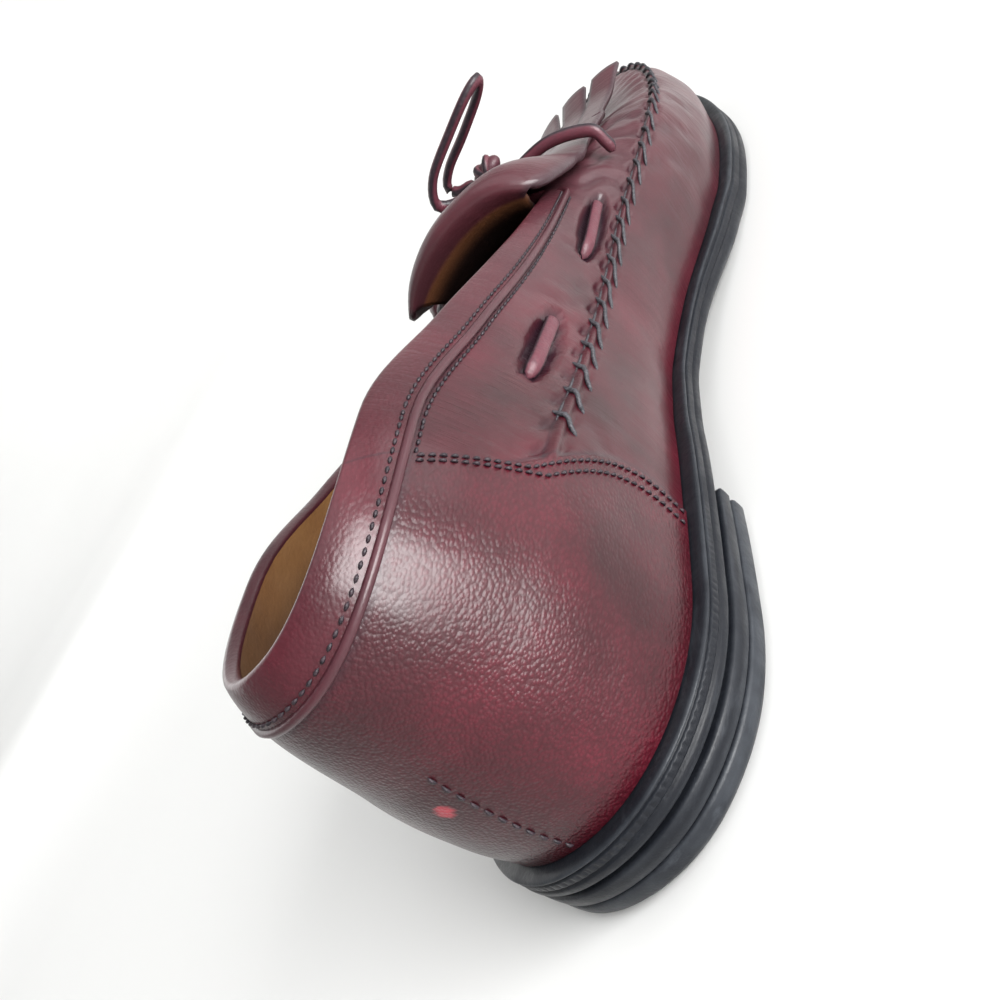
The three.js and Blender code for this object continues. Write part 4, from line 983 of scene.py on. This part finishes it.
class LOAFER_OT_sole(bpy.types.Operator):
    """Builds the outsole with its groove and ticked heel band, the heel, the top lift and sock"""

    bl_idname = "loafer.sole"
    bl_label = "Sole and heel"

    def execute(self, context):
        """Edges are profiles of offset and height swept round the plan."""
        stations = np.unique(np.concatenate([np.linspace(0, 1.25, 420), np.linspace(1.25, 3, 190)]))
        heel = stations[stations <= station_at(HEEL_BREAST)]
        black, rubber = looks()["sole"], looks()["lift"]
        self.edge("outsole_edge", stations, SOLE_PROFILE, (sole_top, sole_low), black, "black_sole",
                  "outsole", ticks=True)
        self.edge("heel_block", heel, HEEL_PROFILE, (heel_top, level(TOP_LIFT + GAP)), black,
                  "black_sole", "heel_base")
        self.edge("heel_top_lift", heel, TOP_LIFT_PROFILE, (level(TOP_LIFT), level(0.0)), rubber,
                  "black_rubber", "top_lift", worn=True)
        self.sock()
        return {"FINISHED"}

    def edge(self, name, stations, profile, faces, material, slot, replaced, ticks=False, worn=False):
        """A closed slab: profile swept round the plan between a top and a low face. Ticks are pressed
        in by the square of a raised cosine of the running length; without them the lower edge wavers
        by a sine of it."""
        top, low = faces
        rings = np.stack([full_ring(stations, off, between(top, low, share)) for share, off in profile], 1)
        share = profile[:, 0][None]
        run = lengths(rings[:, 4])
        if ticks:
            fade = 1 - smooth(TICK_END, TICK_END + 14, rings[:, 4, 1])
            tick = (0.5 + 0.5 * np.cos(2 * math.pi * run / TICK_PITCH)) ** 2 * fade
            press = tick[:, None] * bell(share, TICK_BAND, 0.09) * TICK_DEPTH
            rings = rings - unit(rings[:, 10] - rings[:, 0])[:, None] * press[..., None]
        else:
            waver = 0.04 * np.sin(run * 0.31)[:, None] * bell(share, 0.85, 0.15)
            rings[..., 2] += waver * (share <= 0.98)
        # Rims: a painted highlight along the top rim, wear at the lower rim and on the tread; a top lift is
        # greyed all over by wear.
        rub = bell(share, 0.08, 0.05) * 0.55 + bell(share, 0.9, 0.1) * 0.5 + bell(share, 0.25, 0.02) * 0.3
        rub = np.clip(rub, 0, 1)
        if worn:
            rub = np.clip(rub + 0.25 + 0.35 * bell(share, 0.4, 0.3), 0, 1)
        parts = Parts()
        grid = np.moveaxis(rings, 0, 1)
        parts.add(grid, grid_faces(len(profile), len(rings), wrap=True),
                  rub=np.broadcast_to(rub.T, grid.shape[:-1]))
        for k, face, wear_and_highlight in ((0, top, 0.15), (-1, low, 0.5)):
            cap = fill_ring(stations, profile[k, 1], face)
            parts.add(cap, grid_faces(len(stations), 9, flip=k == 0), rub=wear_and_highlight)
        parts.piece(name, [material], slot, [replaced], merge=3e-6, outward=True, leaning=False)

    def sock(self):
        """Insole inside the wall, dished across by a power of a sine, darkened by painted shade, most in
        front of the heel.
        """
        stations = station_grid(30, 60, 30)
        inset = -SOLE_EDGE - WALL - SOCK_INSET
        parts = Parts()
        for height, upper_face in ((INSOLE_THICKNESS, True), (0.05, False)):
            grid = fill_ring(stations, inset, raised(height), SOCK_COLUMNS)
            if upper_face:
                dish = np.sin(np.linspace(0, math.pi, SOCK_COLUMNS)) ** 0.7 * SOCK_DISH
                grid[..., 2] += SOCK_RIM - dish[None]
            # Painted shade inside the shoe, lighter at the heel.
            worn = 0.85 - 0.35 * bell(grid[..., 1], 30, 40)
            parts.add(grid, grid_faces(len(stations), SOCK_COLUMNS, flip=not upper_face), worn=worn)
        wall = [full_ring(stations, inset, raised(height)) for height in (0.05, INSOLE_THICKNESS + SOCK_RIM)]
        parts.add(np.stack(wall), grid_faces(2, len(wall[0]), wrap=True), worn=0.8)
        parts.piece("insole_sock", [looks()["lining"]], "tan_lining", ["insole"], merge=2e-6, outward=True)


# Kiltie tongue
KILTIE_WIDTH, KILTIE_THICKNESS, ROLL_RISE = 46.0, 1.8, 8.5
TONGUE = table("at rise width", [
    (0.575, -0.5, 0.7), (0.54, -0.5, 0.71), (0.508, -0.5, 0.72), (0.48, -0.35, 0.72), (0.452, 0.15, 0.73),
    (0.44, 0.7, 0.86), (0.447, 1.02, 0.98), (0.47, 1.1, 1.02), (0.5, 0.8, 1.04), (0.53, 0.36, 1.04),
    (0.56, 0.28, 1.05), (0.61, 0.25, 1.08), (0.66, 0.24, 1.14)])
FRINGE_END = (0.768, 0.78, 0.788, 0.788, 0.778, 0.765)
FRINGE_SLIT, FRINGE_FLARE, FRINGE_CURL = 1.2, 1.35, 3.2
TONGUE_ROWS, TAN_UP_TO = 73, 4.4
INSIDE_CLEAR = WALL + GAP + KILTIE_THICKNESS / 2 + 0.5
OUTSIDE_CLEAR = GAP + KILTIE_THICKNESS / 2 + 0.6


def tongue_point(at, rise, width, across, extra=0.0):
    """Middle of the tongue at a place along it and across it: over the vamp, or inside below it."""
    x = across * width * KILTIE_WIDTH / 2
    droop = mix(1, 0.8, np.clip(rise, 0, 1))
    hug = 1 - 0.72 * abs(across) ** 3.5 * bell(rise, 1.1, 0.55)
    lift = rise * ROLL_RISE * hug + extra
    near = np.clip(lift, -INSIDE_CLEAR, OUTSIDE_CLEAR)
    point = on_vamp(x * droop, at * SOLE_LENGTH, near)
    point[..., 0] += x * (1 - droop)
    point[..., 2] += lift - near
    return point


class LOAFER_OT_kiltie(bpy.types.Operator):
    """Builds the kiltie tongue, its roll over the throat and its fringe"""

    bl_idname = "loafer.kiltie"
    bl_label = "Kiltie tongue"

    def execute(self, context):
        """The tongue is a thick sheet along a line of named places; strips go on from its end."""
        parts = Parts()
        self.body(parts)
        self.fringe(parts)
        parts.piece("kiltie_leather", [looks()["leather"]], "burgundy_leather", ["kiltie_tongue"],
                    outward=True)
        return {"FINISHED"}

    def body(self, parts):
        """Sheet through the tongue's places, with soft ripples. It is tan up to the roll, and darkened by
        painted shadow where it runs inside the shoe.
        """
        rows, columns = TONGUE_ROWS, 31
        t = np.linspace(0, len(TONGUE["at"]) - 1, rows)[:, None]
        path = [through(TONGUE[name][:, None], t[:, 0])[:, None] for name in ("at", "rise", "width")]
        across = np.linspace(-1, 1, columns)[None]
        ripple = 0.35 * smooth(8, 12, t) * np.cos(across * 9)
        ripple = ripple + 0.25 * bell(t, 7, 1.5) * np.cos(across * 7 + 1)
        grid = [np.broadcast_to(v, (rows, columns)) for v in (*path, across)]
        sheet = tongue_point(*grid, ripple)[None]
        add_sheets(parts, sheet, KILTIE_THICKNESS, haze=0.5, grain=0.2, wrinkle=0.3)
        ring = len(parts.points[-1]) // (rows + 2)
        place = np.clip(np.arange(rows + 2) - 1, 0, rows - 1) / 6.0
        parts.marks[-1]["lined"] = np.repeat(1 - smooth(TAN_UP_TO, TAN_UP_TO + 0.08, place), ring)
        # Painted shadow: the part of the tongue inside the shoe is darkened.
        parts.marks[-1]["deep"] = np.repeat(1 - smooth(3.7, 4.5, place), ring)

    def fringe(self, parts):
        """Strips that fan out with the square of the way along and curl up by chance."""
        last_at, last_rise, last_width = (TONGUE[name][-1] for name in ("at", "rise", "width"))
        count = len(FRINGE_END)
        share, j = np.linspace(0, 1, 22)[:, None], np.linspace(-1, 1, 7)[None]
        half = 1 / count - FRINGE_SLIT / 2 / (last_width * KILTIE_WIDTH) * 1.5
        rng = np.random.default_rng(7)
        strips = []
        for k, end in enumerate(FRINGE_END):
            middle = (2 * (k + 0.5) / count - 1) * mix(1, FRINGE_FLARE, share * share)
            at = mix(last_at - 0.01, end, share) + 0.004 * j * (k % 2 - 0.5) * share
            curl = (rng.uniform(0.5, 2.2) + FRINGE_CURL * (k >= count // 2)) * share**1.6
            curl = curl + 0.35 * (1 - j * j) * share + rng.uniform(-0.6, 0.6) * j * share
            rise = last_rise + 0.12 * share * (k % 2) + 0 * j
            across = middle + j * half * mix(1, 1.08, share)
            strips.append(tongue_point(at, rise, last_width, across, curl))
        add_sheets(parts, np.stack(strips), KILTIE_THICKNESS * 0.9, haze=0.62, grain=0.2, wrinkle=0.25)


# Lace, bow and tassels
LACE = 3.0
LACE_LIFT = LACE / 2 + GAP
OVER_KILTIE = OUTSIDE_CLEAR + KILTIE_THICKNESS / 2 + 0.7 + LACE_LIFT
CROSSING_AT, CROSSING_REACH = 0.562, 29.0
CROSSING = ((1, LACE_LIFT + 0.2), (0.94, LACE_LIFT + 2.2), (0.84, OVER_KILTIE + 1.1),
            (0.55, OVER_KILTIE + 0.9), (0.2, OVER_KILTIE))
KNOT = (10.0, 8.0, 6.5)
LOOP_ROUTE = ((-5, -1.5, 0.6), (-10, -4, 1.8), (-14, -5.8, 5.8), (-10, -5.5, 10.5), (0, -4, 13.5),
              (9, -2, 15.5), (13, 0.8, 15.2), (9.5, 3.4, 12.8), (0, 4.2, 9.8), (-8.5, 4.8, 7.6),
              (-12.6, 4.8, 4.9), (-10.6, 3.8, 2), (-4.9, 2.6, 0.4))
LOOP_FACING, END_FACING = (-0.5, 0.25, 0.83), (0.1, 0.1, 0.99)
LACE_ENDS = {
    "front": (((-1.6, 3.8, -1.1), (-3.2, 9, -2.2)), ((-9, 0.612, 2), (-16, 0.63, 2.6))),
    "side": (((-4.8, 0.5, -2), (-12, 1.6, -3.2)), ((-21, 0.575, 3.4), (-29, 0.582, 1.6))),
}
TASSELS = {"front": ((-20, 0.648), (-25, 0.748), OVER_KILTIE - LACE_LIFT + 0.4),
           "side": ((-36, 0.6), (-42, 0.685), 0.6)}
TASSEL_LENGTH, TASSEL_DIAMETER = 34.0, 13.0
# Cap: share of the radius and of the length; rings of strips: share of the radius and number
TASSEL_CAP = [(0, 0, 0), (0.42, 0.005, 0), (0.68, 0.06, 0), (0.75, 0.14, 0), (0.68, 0.21, 0),
              (0.54, 0.25, 0), (0.62, 0.29, 0), (0.5, 0.33, 0)]
TASSEL_RINGS = ((0.95, 13), (0.66, 9), (0.36, 5))


def knot_centre():
    """Middle of the knot, over the middle of the crossing."""
    return on_vamp(0.0, CROSSING_AT * SOLE_LENGTH, OVER_KILTIE + LACE_LIFT + KNOT[2] / 2)


def tassel_line(name):
    """Top and bottom of a tassel."""
    a, b, rest = TASSELS[name]
    rest += TASSEL_DIAMETER / 2 + GAP
    return on_vamp(a[0], a[1] * SOLE_LENGTH, rest), on_vamp(b[0], b[1] * SOLE_LENGTH, rest)


def hung(centre, rows):
    """Places given from the middle of the knot."""
    return [centre + np.array(row, float) for row in rows]


def free_lace(name, route, facing, replaced):
    """A limp lace along a route."""
    line = spline(route, 64)
    parts = Parts()
    add_tubes(parts, line[None], LACE / 2, facing, 12, 0.86)
    obj = parts.piece(name, [looks()["lace"]], "lace_leather", [replaced])
    path = to_row(line)
    return obj


class LOAFER_OT_lace(bpy.types.Operator):
    """Builds the lace runs, the crossing, the knot, the bow loop and both tassels"""

    bl_idname = "loafer.lace"
    bl_label = "Lace, bow and tassels"

    def execute(self, context):
        """Runs dive into the slots; free ends are tubes along their routes."""
        for side, word in ((INNER, "inner"), (OUTER, "outer")):
            for name in SLOTS:
                self.slot_run(side, word, name)
        parts = Parts()
        line = spline(self.half_crossing(INNER) + self.half_crossing(OUTER)[::-1], 90)
        add_tubes(parts, line[None], LACE / 2, (0, 1, 0), 14)
        parts.piece("lace_over_kiltie", [looks()["lace"]], "lace_leather", ["lace_crossing"])
        centre = knot_centre()
        knot = self.knot(centre)
        tassels = {name: self.tassel(name) for name in TASSELS}
        free_lace("bow_loop", hung(centre, LOOP_ROUTE), LOOP_FACING, "lace_loop")
        for name, (near, over) in LACE_ENDS.items():
            top, low = tassel_line(name)
            axis = unit(low - top)
            route = hung(centre, near)
            route += [on_vamp(x, at * SOLE_LENGTH, OVER_KILTIE + lift) for x, at, lift in over]
            route += [top - axis * LACE, top - axis * GAP]
            free_lace(f"bow_end_{name}", route, END_FACING, f"lace_end_{name}")
        return {"FINISHED"}

    def slot_run(self, side, word, name):
        """Flattened lace along a slot, its ends sunk below the leather."""
        share = np.linspace(-1, 1, 24)
        lift = 0.25 - 2.0 * smooth(0.7, 1.0, abs(share)) + 0.2 * np.cos(share * 2)
        s = station_at(SLOTS[name] + share * SLOT_LENGTH / SOLE_LENGTH / 2)
        r = SLOT_ROW + 0.02 * share
        parts = Parts()
        add_tubes(parts, skin(side, s, r, lift)[None], 1.55, last_normal(side, s, r)[None], 14, 0.6)
        parts.piece(f"lace_in_slot_{name}_{word}", [looks()["lace"]], "lace_leather",
                    [f"lace_run_{name}_{word}"])

    def half_crossing(self, side):
        """Places of the crossing from one side's hole to the middle."""
        return [on_vamp(side * a * CROSSING_REACH, (CROSSING_AT - 0.008 * a) * SOLE_LENGTH, lift)
                for a, lift in CROSSING]

    def knot(self, centre):
        """A flattened knot: two crossing wraps of lace round a core."""
        parts = Parts()
        t = np.linspace(0, 2 * math.pi, 60)
        wide, deep, high = (v / 2 for v in KNOT)
        wraps = []
        for tilt, swell in ((0.5, 0.86), (-0.55, 0.8)):
            x = np.sin(t) * math.sin(tilt) * wide * 0.75
            wrap = np.stack([x, np.cos(t) * (deep - 1.3) * swell, np.sin(t) * (high - 1.2)], -1)
            wraps.append(wrap + centre)
        add_tubes(parts, np.stack(wraps), 1.25, (1, 0.2, 0.1), 10, 0.9)
        u = np.linspace(0.02, math.pi - 0.02, 14)[:, None]
        v = (np.arange(24) * 2 * math.pi / 24)[None]
        core = [np.cos(u) * wide * 0.96 + 0 * v, np.sin(u) * np.cos(v) * deep * 0.78,
                np.sin(u) * np.sin(v) * high * 0.78]
        parts.add(np.stack(core, -1) + centre, grid_faces(14, 24, wrap=True), *end_rings(14, 24), edge=0.5)
        return parts.piece("bow_knot", [looks()["lace"]], "lace_leather", ["lace_knot"], outward=True)

    def tassel(self, name):
        """Gathered cap, a profile turned round the tassel's line, over three rings of strips."""
        top, low = tassel_line(name)
        axis = unit(low - top)
        side = unit(np.cross(axis, np.array([0, 0, 1.0])))
        up = np.cross(side, axis)
        radius = TASSEL_DIAMETER / 2

        def turned(r, angle, along):
            """Points at a radius, an angle and a way along the tassel's line."""
            r, angle, along = (v[..., None] for v in np.broadcast_arrays(r, angle, along))
            return top + axis * along + side * (r * np.cos(angle)) + up * (r * np.sin(angle))

        parts = Parts()
        profile = spline(TASSEL_CAP, 30)
        angle = (np.arange(60) * 2 * math.pi / 60)[None]
        fold = 1 + 0.05 * np.cos(12 * angle) * bell(profile[:, 1], 0.14, 0.07)[:, None]
        r = np.maximum(profile[:, :1] * radius * fold, 0.02)
        cap = turned(r, angle, profile[:, 1:2] * TASSEL_LENGTH)
        parts.add(cap, grid_faces(30, 60, wrap=True), *end_rings(30, 60), haze=0.3, grain=0.1, wrinkle=0.2)
        rng = np.random.default_rng(3 if name == "front" else 5)
        share, j = np.linspace(0, 1, 12)[None, :, None], np.linspace(-1, 1, 4)[None, None, :]
        strips = []
        for ring, number in TASSEL_RINGS:
            turn = (np.arange(number) * 2 * math.pi / number + rng.uniform(0, 1))[:, None, None]
            length = (TASSEL_LENGTH * rng.uniform(0.955, 0.995, number))[:, None, None]
            spread = radius * mix(0.5, ring * 0.93, np.sqrt(share))
            sway = rng.uniform(-0.1, 0.1, number)[:, None, None] * share
            along = mix(TASSEL_LENGTH * 0.29, length, share)
            strips.append(turned(spread, turn + j * 1.05 / number + sway, along))
        add_sheets(parts, np.concatenate(strips), 0.9, haze=0.35, grain=0.1, wrinkle=0.2)
        return parts.piece(f"tassel_{name}_leather", [looks()["leather"]], "burgundy_leather",
                           [f"tassel_{name}"], outward=True)


# Stage
# Camera: place in the last's frame, in millimetres, then angles in degrees and lens
CAMERA_AT = (117.3, -101.0, 106.1)
CAMERA_AZIMUTH, CAMERA_ELEVATION, CAMERA_ROLL = 124.257, -18.076, -57.314
SENSOR, LENS = 36.0, 40.68
SHOE_MIDDLE = (0.0, 0.0, 0.03)
# Lights: place and aim in metres, size in metres and power in watts
LIGHTS = {
    "key": ((1.0, -0.44, 0.34), SHOE_MIDDLE, 0.75, 33),
    "top": ((0.55, 0.15, 1.1), SHOE_MIDDLE, 1.2, 5.8),
    "side": ((0.9, 0.5, 0.3), SHOE_MIDDLE, 0.5, 2),
    "far": ((-0.9, 0.3, 0.7), SHOE_MIDDLE, 1.0, 4.2),
    "backdrop_front": ((-0.3, 1.2, 2.2), (-1.8, 4.6, 0.5), 2.4, 75),
    "backdrop_back": ((0.5, -1.5, 2.4), (2.1, -4.7, 0.9), 2.4, 75),
}
WORLD_COLOUR, WORLD_STRENGTH = (0.93, 0.94, 0.95, 1), 0.38
FLOOR_REACH, FLOOR_FLAT, FLOOR_POINTS = 6.0, 2.0, 97


class LOAFER_OT_stage(bpy.types.Operator):
    """Sets the camera, the lights and the pale floor"""

    bl_idname = "loafer.stage"
    bl_label = "Camera, lights and floor"

    def execute(self, context):
        """The camera keeps the photograph's place beside the shoe."""
        scene = context.scene
        self.camera(scene)
        self.floor(scene)
        for name, (spot, aim, size, power) in LIGHTS.items():
            lamp = bpy.data.lights.new(name, "AREA")
            lamp.energy, lamp.size = power, size
            holder = bpy.data.objects.new(name, lamp)
            holder.location = spot
            holder.rotation_euler = (Vector(aim) - Vector(spot)).to_track_quat("-Z", "Y").to_euler()
            scene.collection.objects.link(holder)
        world = scene.world or bpy.data.worlds.new("world")
        scene.world = world
        world.use_nodes = True
        back = world.node_tree.nodes["Background"]
        back.inputs[0].default_value = WORLD_COLOUR
        back.inputs[1].default_value = WORLD_STRENGTH
        scene.view_settings.view_transform = "Standard"
        return {"FINISHED"}

    def camera(self, scene):
        """Looks along an azimuth and elevation, then is rolled about that line."""
        data = bpy.data.cameras.new("camera")
        camera = bpy.data.objects.new("camera", data)
        scene.collection.objects.link(camera)
        scene.camera = camera
        azimuth, elevation, roll = map(math.radians, (CAMERA_AZIMUTH, CAMERA_ELEVATION, CAMERA_ROLL))
        flat = math.cos(elevation)
        ahead = Vector((flat * math.cos(azimuth), flat * math.sin(azimuth), math.sin(elevation)))
        level_right = ahead.cross(Vector((0, 0, 1))).normalized()
        right = level_right * math.cos(roll) + level_right.cross(ahead) * math.sin(roll)
        turn = Matrix((right, right.cross(ahead), -ahead)).transposed().to_4x4()
        place = (np.array(CAMERA_AT) + SHIFT) / 1000
        camera.matrix_world = Matrix.Translation(Vector(place)) @ turn
        data.sensor_width, data.lens = SENSOR, LENS
        data.clip_start, data.clip_end = 0.01, 20

    def floor(self, scene):
        """Flat sheet under the shoe that rises far away with the square of the distance."""
        x = np.linspace(-FLOOR_REACH, FLOOR_REACH, FLOOR_POINTS)
        a, b = np.meshgrid(x, x, indexing="ij")
        rise = 0.35 * np.maximum(np.hypot(a, b) - FLOOR_FLAT, 0) ** 2
        grid = np.stack([a, b, rise - 0.0003], -1)
        quads = grid_faces(FLOOR_POINTS, FLOOR_POINTS, flip=True)
        mesh = bpy.data.meshes.new("floor")
        mesh.from_pydata(grid.reshape(-1, 3).tolist(), [], quads.tolist())
        mesh.polygons.foreach_set("use_smooth", [True] * len(mesh.polygons))
        mesh.materials.append(looks()["floor"])
        sheet = bpy.data.objects.new("floor", mesh)
        scene.collection.objects.link(sheet)


class LoaferSizes(bpy.types.PropertyGroup):
    """Sizes and colours of the loafer that a user would change"""

    apron_stitches: IntProperty(name="Apron stitches", min=8, max=80, default=34,
                                description="Number of waxed stitches on each side of the apron")
    collar_stitch: FloatProperty(name="Collar stitch", unit="LENGTH", min=0.001, max=0.005, default=0.0019,
                                 description="Length from one stitch of the collar to the next")
    leather: FloatVectorProperty(name="Leather", description="Colour of the upper's leather", subtype="COLOR",
                                 size=3, min=0, max=1, default=(0.07, 0.0046, 0.0115))
    # Colour of the greyed leather: wear and a painted sheen.
    worn: FloatVectorProperty(name="Worn leather", description="Colour of the leather where it is greyed",
                              subtype="COLOR", size=3, min=0, max=1, default=(0.075, 0.031, 0.038))
    edge: FloatVectorProperty(name="Sole edge", subtype="COLOR",
                              description="Colour of the dressed sole edge",
                              size=3, min=0, max=1, default=(0.005, 0.006, 0.009))


class LOAFER_PT_panel(bpy.types.Panel):
    """Lists the loafer's pieces"""

    bl_label = "Loafer"
    bl_space_type = "VIEW_3D"
    bl_region_type = "UI"
    bl_category = "Loafer"

    def draw(self, context):
        """Sizes and colours, then one button for each piece."""
        for name in LoaferSizes.__annotations__:
            self.layout.prop(sizes(), name)
        for piece in PIECES:
            self.layout.operator(piece.bl_idname)


PIECES = (LOAFER_OT_stage, LOAFER_OT_lace, LOAFER_OT_upper, LOAFER_OT_sole, LOAFER_OT_kiltie)
CLASSES = (LoaferSizes,) + PIECES + (LOAFER_PT_panel,)


def register():
    """Registers the classes and their sizes."""
    for kind in CLASSES:
        bpy.utils.register_class(kind)
    bpy.types.Scene.loafer_sizes = PointerProperty(type=LoaferSizes)


def unregister():
    """Takes the classes out again."""
    del bpy.types.Scene.loafer_sizes
    for kind in reversed(CLASSES):
        bpy.utils.unregister_class(kind)


def main():
    """Builds every piece."""
    register()
    for piece in PIECES:
        group, call = piece.bl_idname.split(".")
        if getattr(getattr(bpy.ops, group), call)() != {"FINISHED"}:
            raise RuntimeError(piece.bl_label)


if __name__ == "__main__":
    main()
